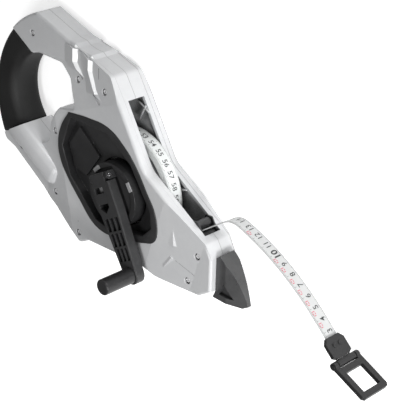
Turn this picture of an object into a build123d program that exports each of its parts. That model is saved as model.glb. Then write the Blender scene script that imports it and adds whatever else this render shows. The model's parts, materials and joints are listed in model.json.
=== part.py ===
from build123d import *
import math
import os

# Open-reel long tape measure with a folding crank, lying on its plain side.
# Millimetres. The reel axis is the Z axis, the resting face of the casing is Z = 0,
# +X points out of the tape mouth and +Y from the base line to the top of the handle.
# Shapes are drawn about the casing's parting plane and lifted by HALF_HUB at the end.

os.makedirs("parts", exist_ok=True)

# Casing
HALF_HUB = 19.0
HALF_ARM = 14.0
WALL = 2.8
EDGE_ROUND = 2.4
BEZEL_SURROUND = 3.0
SLOPE_REACH = 300.0
LOWER_ARM_RADIUS = 15.0
LOWER_ARM_TOP = 17.0
LOWER_ARM_INSET = 0.8
STEP_WIDTH = 2.4
STEP_DEPTH = 0.9
RIB_THICK = 1.6
RIB_LOW = 9.2
SLOT_HALF = 8.5
SLOT_DEPTH = 9.0
SLOT_LAND = 2.0
SLOT_REACH = 40.0
SLOT_FRONT = [(60, 80), (20, 90)]
FIT = 0.06

# Grip
GRIP_SKIN = 2.4
GRIP_HALF = 15.5
GRIP_ROUND = 7.0

# Bezel and side cover
BEZEL_DEPTH = 7.0
BEZEL_WALL = 2.2
BEZEL_FLOOR = 1.8
BEZEL_FLANGE = 1.8
BEZEL_PANEL_RISE = 2.6
COVER_THICK = 2.6
COVER_LIP = 3.0
COVER_RIB = 15.0
COVER_RIB_RISE = 4.0
SMALL_BREAK = 0.5

# Reel and tape
TAPE_WIDTH = 13.0
TAPE_THICK = 0.6
PACK_RADIUS = 52.6
TURN_GAP = 0.5
DRUM_RADIUS = 20.0
FLANGE_RADIUS = 46.0
FLANGE_THICK = 1.5
FLANGE_GAP = 0.4
AXLE_RADIUS = 4.0
SHAFT_CLEARANCE = 0.06
BUSH_RADIUS = 6.5
BUSH_LENGTH = 4.0
AXLE_TOP = 10.6
WASHER_RADIUS = 7.0
WASHER_THICK = 1.0
AXLE_BOSS_RADIUS = 8.5
RUN_CLEARANCE = 0.6
TAPE_LEAD = 2.0
PACK_CLEARANCE = 0.8
DRUM_WALL = 2.4
DRUM_HUB = 4.0
FLANGE_HOLE = 8.0

# Free tape
EXIT_ANGLE = 32.0
CREST_START = 110.0
CREST_RADIUS = 17.0
CREST_TURN = 52.0
FALL_RADIUS = 215.0
FALL_TURN = 25.0
TAPE_END_RUN = 28.0

# Guide rollers
ROLLER_X = 83.0
ROLLER_RADIUS = 4.0
ROLLER_HALF = 6.9
ROLLER_GAP = 0.35
ROLLER_PIN = 1.3
CHEEK_THICK = 1.2
CHEEK_GAP = 0.25
CHEEK_FALL = 3.2
BAR_THICK = 1.2
BAR_GAP = 0.5
MOUTH_FRONT = 5.4
MOUTH_REAR = 6.0

# Ground spike
SPIKE_HALF = 8.0
SPIKE_TIP_HALF = 1.6
TONGUE_HALF = 4.5
SPIKE_PIN_RADIUS = 1.6
SPIKE_SHOULDER = 14.0

# Crank
HUB_RADIUS = 27.5
HUB_RING = 4.5
HUB_BASE = 11.6
HUB_TOP = 21.2
HUB_RING_TOP = 23.2
HUB_STEM = 14.0
HUB_BORE = 8.0
HUB_WALL = 2.0
HUB_DECK = 3.0
HUB_PLATE = 0.8
TAB_ANGLES = (134, 32)
TAB_WIDTH = 8.0
TAB_THICK = 1.0
BEZEL_GAP = 1.6
CRANK_ANGLE = -63.6
HINGE_OFFSET = 17.0
HINGE_HEIGHT = 28.0
HINGE_PIN = 1.6
PIN_PROUD = 1.6
ARM_LENGTH = 83.5
ARM_WIDTH = 24.0
ARM_TIP_WIDTH = 17.0
ARM_THICK = 8.4
ARM_GAP = 0.5
ARM_RIB = 1.8
ARM_FLOOR = 2.0
POCKET_PITCH = 13.0
LATCH_WINDOW = [(8, -8.5), (13, -8.5), (13, 2.5), (8, 2.5)]
ARROW_WINDOW = [(22, -9), (22, 3), (25, 3), (30, -3), (25, -9)]
LATCH_THICK = 2.4
EAR_THICK = 3.4
EAR_GAP = 0.3
EAR_RADIUS = 3.5
HINGE_CLEAR = 6.0
ARM_TAIL = 3.6
ARM_BREAK = 0.8
ARM_SHOULDER = 30.0
POCKET_START = 40.0
POCKET_ACROSS = 6.4
POCKET_TAPER = 0.09
KNOB_RADIUS = 6.9
KNOB_LENGTH = 30.0
KNOB_AXLE = 3.0
KNOB_GAP = 0.4
KNOB_CAP = 3.0
KNOB_ROUND = 1.4

# Tape end
CLIP_LENGTH = 17.0
CLIP_NOSE = 5.0
CLIP_NECK = 0.4
CLIP_HALF = 10.0
CLIP_PLATE = 1.2
CLIP_FLARE = 4.0
CLIP_CLIPPED = 2.0
RIVET_RADIUS = 1.5
RIVET_SETBACK = 5.0
RIVET_PROUD = 0.6
RIVET_PLACES = (-3.0, 3.0)
RING_ANGLE = -27.0
RING_HALF = 14.3
RING_LENGTH = 33.0
RING_BAR = 5.0
RING_THICK = 3.4
RING_PIN = 1.5
RING_EYE = 3.0
RING_EYE_WIDTH = 3.6
RING_PLAY = 0.8
RING_NEAR = 9.0
RING_CLIPPED = 2.0

# Shell screws
SCREW_RADIUS = 1.5
SCREW_HEAD = 2.9
SCREW_HEAD_HEIGHT = 1.8
SCREW_SINK = 3.4
SCREW_BOSS = 4.2
SCREW_PILOT = 0.05
SCREW_DEPTH = 9.0
TIP_SPACE = 0.5
CROSS_LENGTH = 3.2
CROSS_WIDTH = 0.7
CROSS_DEPTH = 1.6
SCREW_PLACES = [
    (-106, 112), (-46, 86), (-12, 84), (-76, 34), (-130, 4),
    (-83, -25), (-50, -52), (89, -28), (78, -53),
]

# Casing outline corners, from the reel axis
ARCH_RISE = 5.8
ARCH_LEVEL = -(PACK_RADIUS + PACK_CLEARANCE + WALL)
BASE_LEVEL = ARCH_LEVEL - ARCH_RISE
BASE_REAR = (-50, BASE_LEVEL)
BASE_FRONT = (90, BASE_LEVEL - 0.5)
ARCH = [(-38, ARCH_LEVEL), (26, ARCH_LEVEL), (44, BASE_LEVEL + 1.5)]
NOSE = [(103, -55), (104, -26), (98, -14.5)]
BEND = (34, 28)
STRIP_TOP = (6.5, 78)
TOP_FOLD = (-5.5, 98)
TOP_EDGE = [(-34, 108), (-53, 113)]
HANDLE_TOP = (-100, 131)
HANDLE_BACK = (-157.5, 75.4)
HANDLE_HEEL = (-153, 4)
HEEL = [(-140, -1), (-93, -34), (-82, -39), (-66, -50)]

BEND_ROUND = 22.0
FOLD_ROUND = 7.0
FOOT_ROUND = 5.0
GAP_ROUND = 6.0
GAP_TOP_ROUND = 8.0
GAP_NOTCH_ROUND = 4.0

# Hand opening corners
GAP_TOP_REAR = (-98, 96)
GAP_TOP_FRONT = (-68, 95)
GAP_FRONT = [(-56, 85), (-49, 60), (-70, 56)]
GAP_HUMP = (-81, 42)
GAP_LOW_FRONT = (-85, 25)
GAP_LOW = (-98, 15.5)
GAP_LOW_REAR = (-121, 22)
GAP_REAR = (-135.5, 50)

# Where the grip starts and ends on the handle
GRIP_ZONE = [(-148, 120.8), (-92, 84.1), (-100, 60), (-112, 32.6), (-172, 1.2), (-190, 40)]

# Bezel outline, a long hexagon with clipped corners
BEZEL_OUTLINE = [
    (-55, 54.5), (-7, 53), (21.5, 32.5), (44, -3), (45, -19), (33, -30),
    (-10, -38), (-27, -34), (-59, -2), (-69, 24),
]
BEZEL_PANEL = [(-48, 44), (-24, 24), (-42, 2), (-57, 6), (-62, 26)]

# Stepped plate edges on the upper arm, and ribs behind the slot
STEP_LINES = [
    [(-53, 120), (-50.5, 101), (-47.5, 95), (-40, 88)],
    [(-34, 114), (-31, 97), (-26, 80), (-17.5, 72)],
]
RIB_LINES = [
    [(-18, 92), (22, 46)], [(-4, 64), (10, 84)], [(30, 40), (78, -6)], [(44, 10), (62, 18)],
]

# Slopes from the thick middle to the arms: direction in degrees, start and run
SIDE_SLOPES = [(110, 72, 42), (-20, 50, 46), (190, 66, 32)]

# Rounded lower arm between the grip and the casing
LOWER_ARM_LINE = [(-140, 17), (-91, -8)]

# Ground spike outline
SPIKE_BACK = [(103.3, -54.6), (104.2, -26)]
SPIKE_TOP = (108, -23)
SPIKE_BROW = (122, -38)
SPIKE_TIP = (133, -61)
SPIKE_SOLE = [(128, -63.4), (100, -61.5)]
SPIKE_POCKET = [(106, -57), (112, -46), (121, -58)]
SPIKE_POCKET_DEPTH = 4.0
TONGUE = [(87, -50), (87, -40), (104.5, -40), (104.5, -50)]
SPIKE_PIN_PLACE = (91, -45)

MID = TAPE_WIDTH / 2


def polygon(points):
    """Flat face inside a closed run of straight edges."""
    return make_face(Polyline(*points, close=True))


def unit(angle):
    """Direction in the plane of the casing, from an angle in degrees."""
    return Vector(math.cos(math.radians(angle)), math.sin(math.radians(angle)))


def rod(radius, low, high, x=0.0, y=0.0):
    """Round bar along the reel's direction between two heights."""
    return Pos(x, y, low) * extrude(Circle(radius), high - low)


def tube(radius, bore, low, high, x=0.0, y=0.0):
    """Round bar with a through bore."""
    return rod(radius, low, high, x, y) - rod(bore, low - 1, high + 1, x, y)


def slab(face, low, high):
    """Flat face given a thickness between two heights."""
    return Pos(0, 0, low) * extrude(face, high - low)


def corner(face, point, radius):
    """Rounds the corner of a flat face that lies nearest to a point."""
    near = face.vertices().sort_by_distance(Vector(*point))[0]
    return fillet(near, radius)


def casing_face():
    """Side view of the casing without its hand opening."""
    lower = Polyline(HANDLE_HEEL, *HEEL, BASE_REAR, *ARCH, BASE_FRONT, *NOSE, BEND,
                     STRIP_TOP, TOP_FOLD, *TOP_EDGE, HANDLE_TOP)
    back = ThreePointArc(HANDLE_TOP, HANDLE_BACK, HANDLE_HEEL)
    face = make_face([*lower.edges(), back])
    face = corner(face, BEND, BEND_ROUND)
    face = corner(face, TOP_FOLD, FOLD_ROUND)
    face = corner(face, NOSE[-1], FOOT_ROUND)
    face = corner(face, BASE_FRONT, FOOT_ROUND)
    face = corner(face, BASE_REAR, FOOT_ROUND)
    return corner(face, HANDLE_HEEL, GAP_ROUND)


def opening_face():
    """Side view of the hand opening."""
    front = Polyline(GAP_TOP_REAR, GAP_TOP_FRONT, *GAP_FRONT)
    hump = ThreePointArc(GAP_FRONT[-1], GAP_HUMP, GAP_LOW_FRONT)
    low = ThreePointArc(GAP_LOW_FRONT, GAP_LOW, GAP_LOW_REAR)
    rear = ThreePointArc(GAP_LOW_REAR, GAP_REAR, GAP_TOP_REAR)
    face = make_face([*front.edges(), hump, low, rear])
    face = corner(face, GAP_FRONT[1], GAP_NOTCH_ROUND)
    face = corner(face, GAP_FRONT[0], GAP_TOP_ROUND)
    face = corner(face, GAP_TOP_FRONT, GAP_TOP_ROUND)
    face = corner(face, GAP_LOW_FRONT, GAP_ROUND)
    return corner(face, GAP_LOW_REAR, GAP_ROUND)


def grown(face, amount):
    """Flat face grown or drawn in, its edges redrawn as plain lines and arcs."""
    if not amount:
        return face
    edges = []
    for edge in offset(face, amount).edges():
        if edge.geom_type == GeomType.LINE:
            edges.append(Line(edge @ 0, edge @ 1))
        else:
            edges.append(ThreePointArc(edge @ 0, edge @ 0.5, edge @ 1))
    return make_face(edges)


def ring_face(inset):
    """Casing side view with its opening, drawn in by an inset."""
    return grown(casing_face(), -inset) - grown(opening_face(), inset)


def tape_normal():
    """Direction from the reel axis to the straight tape, square to it."""
    return unit(EXIT_ANGLE - 90)


def on_tape(x):
    """Point of the straight tape's centre line at a given X."""
    normal = tape_normal()
    reach = PACK_RADIUS + RUN_CLEARANCE
    return Vector(x, (normal.X * x - reach) / -normal.Y)


def bezel_face(grow):
    """Bezel outline, grown or drawn in."""
    face = polygon(BEZEL_OUTLINE)
    return offset(face, grow, kind=Kind.INTERSECTION) if grow else face


def mouth_point(along, up):
    """Point beside the straight tape at the rollers, along it and above it."""
    return on_tape(ROLLER_X) + unit(EXIT_ANGLE) * along - tape_normal() * up


def mouth_depth():
    """Distance from the tape to the underside of the mouth bracket."""
    return 2 * ROLLER_RADIUS + TAPE_THICK / 2 + ROLLER_GAP + BAR_GAP + BAR_THICK


def slot_block():
    """Space of the long front slot that lets the wound tape show, and of its mouth."""
    depth = mouth_depth() + FIT
    front = MOUTH_FRONT + FIT
    rear = -MOUTH_REAR - FIT
    long_slot = polygon([
        mouth_point(front, -depth / 2), mouth_point(front + SLOT_REACH, 0), *SLOT_FRONT,
        (STRIP_TOP[0] - SLOT_LAND, STRIP_TOP[1]),
        (STRIP_TOP[0] - SLOT_DEPTH, STRIP_TOP[1] - 2 * SLOT_LAND),
        (BEND[0] - SLOT_DEPTH, BEND[1] - SLOT_DEPTH), mouth_point(rear - 2 * SLOT_LAND, -depth / 2),
    ])
    mouth = polygon([
        mouth_point(front, -depth), mouth_point(front, depth), mouth_point(rear, depth), mouth_point(rear, -depth),
    ])
    return slab(long_slot, -SLOT_HALF, SLOT_HALF) + slab(mouth, -SLOT_HALF, SLOT_HALF)


def band(line, width):
    """Face of even width along a run of straight lines."""
    return trace(Polyline(*line), width)


def side_slope(angle, start, run):
    """Space below a side that is flat round the hub and falls away in one direction."""
    foot = start + run * HALF_HUB / (HALF_HUB - HALF_ARM)
    profile = polygon([(-SLOPE_REACH, 0), (-SLOPE_REACH, HALF_HUB), (start, HALF_HUB), (foot, 0)])
    return Rot(0, 0, angle) * (Plane.XZ * extrude(profile, SLOPE_REACH, both=True))


def thick_middle():
    """The part of the side that stands above the arms."""
    middle = slab(ring_face(0), HALF_ARM - EDGE_ROUND / 2, HALF_HUB)
    middle = fillet(middle.faces().sort_by(Axis.Z)[-1].edges(), EDGE_ROUND)
    for slope in SIDE_SLOPES:
        middle &= side_slope(*slope)
    return middle


def lower_arm():
    """Round bar between the grip and the casing, with a round end."""
    start, end = [Vector(*point) for point in LOWER_ARM_LINE]
    axis_height = LOWER_ARM_TOP - LOWER_ARM_RADIUS
    plane = Plane(origin=(start.X, start.Y, axis_height), z_dir=tuple(end - start))
    bar = plane * extrude(Circle(LOWER_ARM_RADIUS), (end - start).length)
    bar += Pos(end.X, end.Y, axis_height) * Sphere(LOWER_ARM_RADIUS)
    return bar & slab(ring_face(EDGE_ROUND + LOWER_ARM_INSET), HALF_ARM - WALL / 2, HALF_HUB)


def arm_steps():
    """Grooves across the upper arm, as deep everywhere as the sloping side allows."""
    side = Pos(0, 0, -STEP_DEPTH) * side_slope(*SIDE_SLOPES[0])
    return [slab(band(line, STEP_WIDTH), HALF_ARM - STEP_DEPTH, HALF_HUB + 1) - side for line in STEP_LINES]


def half_casing(pocket_margin):
    """One half of the casing, on the crank side of the parting plane."""
    shell = slab(ring_face(0), 0, HALF_ARM) - slab(ring_face(WALL), -1, HALF_ARM - WALL)
    shell = fillet(shell.faces().sort_by(Axis.Z)[-1].edges(), EDGE_ROUND)
    shell += thick_middle()
    shell -= slab(bezel_face(pocket_margin), 0, HALF_HUB - WALL)
    shell += lower_arm()
    for groove in arm_steps():
        shell -= groove
    for x, y in SCREW_PLACES:
        shell += rod(SCREW_BOSS, 0, HALF_ARM - WALL, x, y)
    shell -= slab(polygon(GRIP_ZONE), -1, HALF_HUB + 5)
    core = slab(ring_face(GRIP_SKIN) & polygon(GRIP_ZONE), 0, HALF_ARM - GRIP_SKIN)
    core -= slab(ring_face(GRIP_SKIN + WALL) & polygon(GRIP_ZONE), -1, HALF_ARM - GRIP_SKIN - WALL)
    shell += core
    shell -= slot_block()
    return shell - spike_tongue(FIT)


def screw_hole(x, y):
    """Clearance hole and head sink of one shell screw, in the crank side half."""
    hole = rod(SCREW_RADIUS + SCREW_PILOT, -1, HALF_ARM, x, y)
    return hole + rod(SCREW_HEAD + FIT, HALF_ARM - SCREW_SINK, HALF_HUB + 1, x, y)


def left_shell():
    """Crank side casing half with the bezel's opening."""
    shell = half_casing(BEZEL_SURROUND)
    shell -= slab(bezel_face(FIT), 0, HALF_HUB + 1)
    for x, y in SCREW_PLACES:
        shell -= screw_hole(x, y)
    return shell


def right_shell():
    """Plain side casing half with the side cover's seat and stiffening ribs."""
    shell = half_casing(-COVER_LIP)
    shell -= slab(bezel_face(FIT), HALF_HUB - COVER_THICK, HALF_HUB + 1)
    shell -= slab(bezel_face(-COVER_LIP), 0, HALF_HUB + 1)
    for line in RIB_LINES:
        shell += slab(band(line, RIB_THICK) & ring_face(WALL), RIB_LOW, HALF_ARM - WALL)
    for x, y in SCREW_PLACES:
        shell -= rod(SCREW_RADIUS + SCREW_PILOT, -1, SCREW_DEPTH + TIP_SPACE, x, y)
    return mirror(shell, about=Plane.XY)


def cross_recess():
    """Cross slot of a screw head."""
    blade = Box(CROSS_LENGTH, CROSS_WIDTH, CROSS_DEPTH)
    return blade + Rot(0, 0, 90) * blade


def shell_screws():
    """Pan head screws that hold the casing halves together."""
    seat = HALF_ARM - SCREW_SINK
    screws = []
    for x, y in SCREW_PLACES:
        head = rod(SCREW_HEAD, seat, seat + SCREW_HEAD_HEIGHT, x, y)
        head -= Pos(x, y, seat + SCREW_HEAD_HEIGHT) * cross_recess()
        screws.append(head + rod(SCREW_RADIUS, -SCREW_DEPTH, seat, x, y))
    return Part() + screws


def handle_grip():
    """Soft sleeve round the handle."""
    zone = polygon(GRIP_ZONE)
    sleeve = slab(ring_face(0) & zone, -GRIP_HALF, GRIP_HALF)
    ends = [face for face in sleeve.faces() if abs(face.normal_at().Z) > 0.9]
    long_edges = [edge for face in ends for edge in face.edges() if edge.geom_type == GeomType.CIRCLE]
    sleeve = fillet(long_edges, GRIP_ROUND)
    core_half = HALF_ARM - GRIP_SKIN + FIT
    return sleeve - slab(ring_face(GRIP_SKIN - FIT), -core_half, core_half)


def left_bezel():
    """Deep dish round the crank hub, clipped in from inside by its flange."""
    floor_top = HALF_HUB - BEZEL_DEPTH
    floor_low = floor_top - BEZEL_FLOOR
    flange_top = HALF_HUB - WALL - FIT
    dish = slab(bezel_face(0), floor_low, HALF_HUB)
    dish += slab(bezel_face(BEZEL_FLANGE), flange_top - BEZEL_FLOOR, flange_top)
    dish -= slab(bezel_face(-BEZEL_WALL), floor_top, HALF_HUB + 1)
    dish += slab(polygon(BEZEL_PANEL), floor_low, floor_top + BEZEL_PANEL_RISE)
    return dish - rod(HUB_RADIUS + BEZEL_GAP, 0, HALF_HUB + 1)


def right_cover():
    """Flat cover of the plain side with the axle's socket."""
    face = -HALF_HUB
    plate = slab(bezel_face(0), face, face + COVER_THICK)
    plate = chamfer(plate.faces().sort_by(Axis.Z)[0].edges(), SMALL_BREAK)
    boss_top = -(MID + FLANGE_GAP + FLANGE_THICK + RUN_CLEARANCE)
    plate += rod(AXLE_BOSS_RADIUS, face + COVER_THICK, boss_top)
    rib = Pos(AXLE_BOSS_RADIUS + COVER_RIB / 2 - 0.5, 0, face + COVER_THICK + COVER_RIB_RISE / 2)
    for turn in range(6):
        plate += Rot(0, 0, 60 * turn) * rib * Box(COVER_RIB, RIB_THICK, COVER_RIB_RISE)
    return plate - rod(AXLE_RADIUS + FIT, face + COVER_THICK, boss_top + 1)


def main_axle():
    """Fixed axle that the reel turns on."""
    axle = rod(AXLE_RADIUS, COVER_THICK - HALF_HUB, AXLE_TOP)
    return axle - rod(SCREW_RADIUS + SCREW_PILOT, AXLE_TOP - SCREW_DEPTH, AXLE_TOP + 1)


def axle_washer():
    """Washer that keeps the reel on its axle."""
    return tube(WASHER_RADIUS, SCREW_RADIUS + SCREW_PILOT, AXLE_TOP, AXLE_TOP + WASHER_THICK)


def axle_screw():
    """Screw in the end of the axle."""
    seat = AXLE_TOP + WASHER_THICK
    shank = rod(SCREW_RADIUS, AXLE_TOP - SCREW_DEPTH + TIP_SPACE, seat)
    return shank + rod(SCREW_HEAD, seat, seat + SCREW_HEAD_HEIGHT)


def reel_drum():
    """Core that the tape is wound on."""
    half = MID + FLANGE_GAP
    bore = BUSH_RADIUS + SHAFT_CLEARANCE
    drum = tube(DRUM_RADIUS, bore, -half, half)
    return drum - tube(DRUM_RADIUS - DRUM_WALL, bore + DRUM_HUB, -half - 1, half - DRUM_WALL)


def flange(side):
    """Disc beside the wound tape, with round lightening holes."""
    low = MID + FLANGE_GAP
    disc = tube(FLANGE_RADIUS, BUSH_RADIUS + SHAFT_CLEARANCE, low, low + FLANGE_THICK)
    for turn in range(6):
        spot = unit(60 * turn) * ((DRUM_RADIUS + FLANGE_RADIUS) / 2)
        disc -= rod(FLANGE_HOLE, low - 1, low + FLANGE_THICK + 1, spot.X, spot.Y)
    return disc if side > 0 else mirror(disc, about=Plane.XY)


def reel_bush(side):
    """Plain bush pressed into one end of the drum."""
    outer = MID + FLANGE_GAP + FLANGE_THICK
    bush = tube(BUSH_RADIUS, AXLE_RADIUS + SHAFT_CLEARANCE, outer - BUSH_LENGTH, outer)
    return bush if side > 0 else mirror(bush, about=Plane.XY)


def turn_pitch():
    """Growth of the outer layer's radius in one turn."""
    return TAPE_THICK + TURN_GAP


def turn_path():
    """Outer layer as four tangent quarter arcs, each larger by a quarter pitch."""
    start_angle = EXIT_ANGLE - 90
    radius = PACK_RADIUS - TAPE_THICK / 2 - turn_pitch()
    spot = unit(start_angle) * radius
    heading = unit(start_angle + 90)
    arcs = []
    for quarter in range(4):
        arc = JernArc(spot, heading, radius + turn_pitch() * (quarter + 0.5) / 4, 90)
        arcs.append(arc)
        spot = arc @ 1
        heading = arc % 1
    return arcs


def wound_tape_core():
    """Inner layers of the wound tape as one ring."""
    outer = PACK_RADIUS - TAPE_THICK - turn_pitch() - TURN_GAP
    return tube(outer, DRUM_RADIUS + FIT, -MID, MID)


def ribbon(edges):
    """Tape of full width along a run of edges."""
    path = Wire(edges)
    section = Plane(origin=path @ 0, x_dir=(0, 0, 1), z_dir=path % 0) * Rectangle(TAPE_WIDTH, TAPE_THICK)
    return sweep(section, path)


def wound_tape_outer_turn():
    """Outermost layer of the wound tape, one open turn."""
    arcs = turn_path()
    steps = [step / 60 for step in range(61)]
    first_quarter = [arcs[0] @ step for step in steps]
    last_quarter = [arcs[-1] @ step for step in steps]
    gap = min((a - b).length for a in first_quarter for b in last_quarter) - TAPE_THICK
    print("outer turn: least gap to itself", round(gap, 3), "mm")
    return ribbon(arcs)


def tape_path():
    """Straight run off the reel, the crest and the long fall to the end clip."""
    start = tape_normal() * (PACK_RADIUS + RUN_CLEARANCE) + unit(EXIT_ANGLE) * TAPE_LEAD
    crest = on_tape(CREST_START)
    run = Line(start, crest)
    bend = JernArc(crest, unit(EXIT_ANGLE), CREST_RADIUS, -CREST_TURN)
    fall = JernArc(bend @ 1, bend % 1, FALL_RADIUS, -FALL_TURN)
    end = Line(fall @ 1, (fall @ 1) + (fall % 1) * TAPE_END_RUN)
    return [run, bend, fall, end]


def tape_blade():
    """Free tape from the reel to the end clip, pierced for the clip's rivets."""
    blade = ribbon(tape_path())
    for spot in RIVET_PLACES:
        blade -= clip_frame() * rod(RIVET_RADIUS + FIT, -TAPE_THICK, TAPE_THICK, -RIVET_SETBACK, spot)
    return blade


def roller_centre(side):
    """Axis of a guide roller, above or below the straight tape."""
    reach = ROLLER_RADIUS + TAPE_THICK / 2 + ROLLER_GAP
    return on_tape(ROLLER_X) - tape_normal() * (side * reach)


def guide_roller(side):
    """Roller that the tape runs on at the mouth."""
    spot = roller_centre(side)
    body = tube(ROLLER_RADIUS, ROLLER_PIN + SHAFT_CLEARANCE, -ROLLER_HALF, ROLLER_HALF, spot.X, spot.Y)
    rims = body.edges().filter_by(GeomType.CIRCLE).group_by(SortBy.RADIUS)[-1]
    return chamfer(rims, SMALL_BREAK)


def roller_pin(side):
    """Fixed pin of a guide roller."""
    spot = roller_centre(side)
    return rod(ROLLER_PIN, -SLOT_HALF + FIT, SLOT_HALF - FIT, spot.X, spot.Y)


def mouth_bracket():
    """Cheeks of the tape mouth with the bar that joins them."""
    depth = mouth_depth()
    low = ROLLER_HALF + CHEEK_GAP
    high = low + CHEEK_THICK
    cheek = polygon([
        mouth_point(MOUTH_FRONT, -depth), mouth_point(MOUTH_FRONT, depth - CHEEK_FALL),
        mouth_point(0, depth), mouth_point(-MOUTH_REAR, depth - CHEEK_FALL), mouth_point(-MOUTH_REAR, -depth),
    ])
    bar = polygon([
        mouth_point(MOUTH_FRONT, -depth), mouth_point(MOUTH_FRONT, BAR_THICK - depth),
        mouth_point(-MOUTH_REAR, BAR_THICK - depth), mouth_point(-MOUTH_REAR, -depth),
    ])
    bracket = slab(cheek, low, high) + slab(cheek, -high, -low) + slab(bar, -high, high)
    for side in (1, -1):
        spot = roller_centre(side)
        bracket -= rod(ROLLER_PIN + FIT, -HALF_HUB, HALF_HUB, spot.X, spot.Y)
    return bracket


def spike_tongue(grow):
    """Root of the spike between the casing halves."""
    face = grown(polygon(TONGUE), grow)
    return slab(face, -TONGUE_HALF - grow, TONGUE_HALF + grow)


def ground_spike():
    """Beak that pins the tool in the ground."""
    front = [ThreePointArc(SPIKE_TOP, SPIKE_BROW, SPIKE_TIP)]
    rest = Polyline(SPIKE_TIP, *SPIKE_SOLE, *SPIKE_BACK, SPIKE_TOP)
    beak = slab(make_face([*front, *rest.edges()]), -SPIKE_HALF, SPIKE_HALF)
    root = SPIKE_SOLE[-1][0]
    shoulder = root + SPIKE_SHOULDER
    taper = polygon([
        (root, SPIKE_HALF), (shoulder, SPIKE_HALF), (SPIKE_TIP[0], SPIKE_TIP_HALF),
        (SPIKE_TIP[0], -SPIKE_TIP_HALF), (shoulder, -SPIKE_HALF), (root, -SPIKE_HALF),
    ])
    beak &= Plane.XZ * extrude(taper, SLOPE_REACH, both=True)
    pocket = slab(polygon(SPIKE_POCKET), SPIKE_HALF - SPIKE_POCKET_DEPTH, SPIKE_HALF + 1)
    beak -= pocket
    beak -= mirror(pocket, about=Plane.XY)
    beak += spike_tongue(0)
    return beak - rod(SPIKE_PIN_RADIUS + FIT, -HALF_HUB, HALF_HUB, *SPIKE_PIN_PLACE)


def spike_pin():
    """Cross pin that holds the spike's root in the casing."""
    return rod(SPIKE_PIN_RADIUS, -HALF_ARM + WALL, HALF_ARM - WALL, *SPIKE_PIN_PLACE)


def crank_frame():
    """Plane of the crank: origin at the hinge, X towards the knob, Z outwards."""
    hinge = unit(CRANK_ANGLE) * -HINGE_OFFSET
    return Plane(origin=(hinge.X, hinge.Y, HINGE_HEIGHT), x_dir=tuple(unit(CRANK_ANGLE)), z_dir=(0, 0, 1))


def crank_hub():
    """Disc on the reel that carries the crank's hinge ears."""
    stem_low = MID + FLANGE_GAP + FLANGE_THICK
    hub = rod(HUB_RADIUS, HUB_BASE, HUB_TOP) + rod(HUB_STEM, stem_low, HUB_BASE)
    hub += tube(HUB_RADIUS, HUB_RADIUS - HUB_RING, HUB_TOP, HUB_RING_TOP)
    hub -= tube(HUB_RADIUS - HUB_WALL, HUB_STEM, HUB_BASE - 1, HUB_TOP - HUB_DECK)
    hub -= rod(HUB_BORE, stem_low - 1, HUB_TOP - HUB_DECK)
    reach = ARM_WIDTH / 2 + EAR_GAP
    arm_clear = polygon([
        (-HINGE_CLEAR, -reach), (ARM_LENGTH, -reach), (ARM_LENGTH, reach), (-HINGE_CLEAR, reach),
    ])
    hub -= crank_frame() * slab(arm_clear, HUB_TOP - HINGE_HEIGHT, ARM_THICK)
    for side in (1, -1):
        middle = side * (ARM_WIDTH / 2 - EAR_THICK / 2)
        drop = HINGE_HEIGHT - HUB_TOP
        ear = Pos(0, middle, -drop / 2) * Box(2 * EAR_RADIUS, EAR_THICK, drop)
        ear += Pos(0, middle, 0) * Rot(90, 0, 0) * Cylinder(EAR_RADIUS, EAR_THICK)
        ear -= Pos(0, middle, 0) * Rot(90, 0, 0) * Cylinder(HINGE_PIN + FIT, EAR_THICK + 2)
        hub += crank_frame() * ear
    return hub


def hub_plate():
    """Flat plate on the hub beside the arm."""
    disc = Circle(HUB_RADIUS - HUB_RING - FIT)
    strip = polygon(arm_strip(HUB_PLATE))
    return slab(disc - strip, HUB_TOP, HUB_TOP + HUB_PLATE)


def arm_strip(margin):
    """Corners of the strip on the hub that the arm lies over."""
    along = unit(CRANK_ANGLE)
    across = unit(CRANK_ANGLE + 90)
    reach = ARM_WIDTH / 2 + EAR_GAP + margin
    end = along * ARM_LENGTH
    side = across * reach
    return [-end - side, end - side, end + side, side - end]


def hub_tabs():
    """Snap tabs that hold the hub on the reel."""
    tabs = []
    for angle in TAB_ANGLES:
        tab = Pos(HUB_RADIUS - HUB_RING / 2, 0, HUB_RING_TOP + TAB_THICK / 2)
        tab *= Box(HUB_RING - 1, TAB_WIDTH, TAB_THICK)
        tabs.append(Rot(0, 0, angle) * tab)
    return Part() + tabs


def arm_outline(inset):
    """Arm's plan: wide at the hinge, round at the knob."""
    half = ARM_WIDTH / 2 - inset
    tip = ARM_TIP_WIDTH / 2 - inset
    tail = inset - ARM_TAIL
    sides = Polyline((ARM_LENGTH, tip), (ARM_SHOULDER, half), (tail, half), (tail, -half),
                     (ARM_SHOULDER, -half), (ARM_LENGTH, -tip))
    nose = ThreePointArc((ARM_LENGTH, -tip), (ARM_LENGTH + tip, 0), (ARM_LENGTH, tip))
    return make_face([*sides.edges(), nose])


def arm_low():
    """Underside of the arm, from the hinge's height."""
    return HUB_RING_TOP + ARM_GAP - HINGE_HEIGHT


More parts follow.
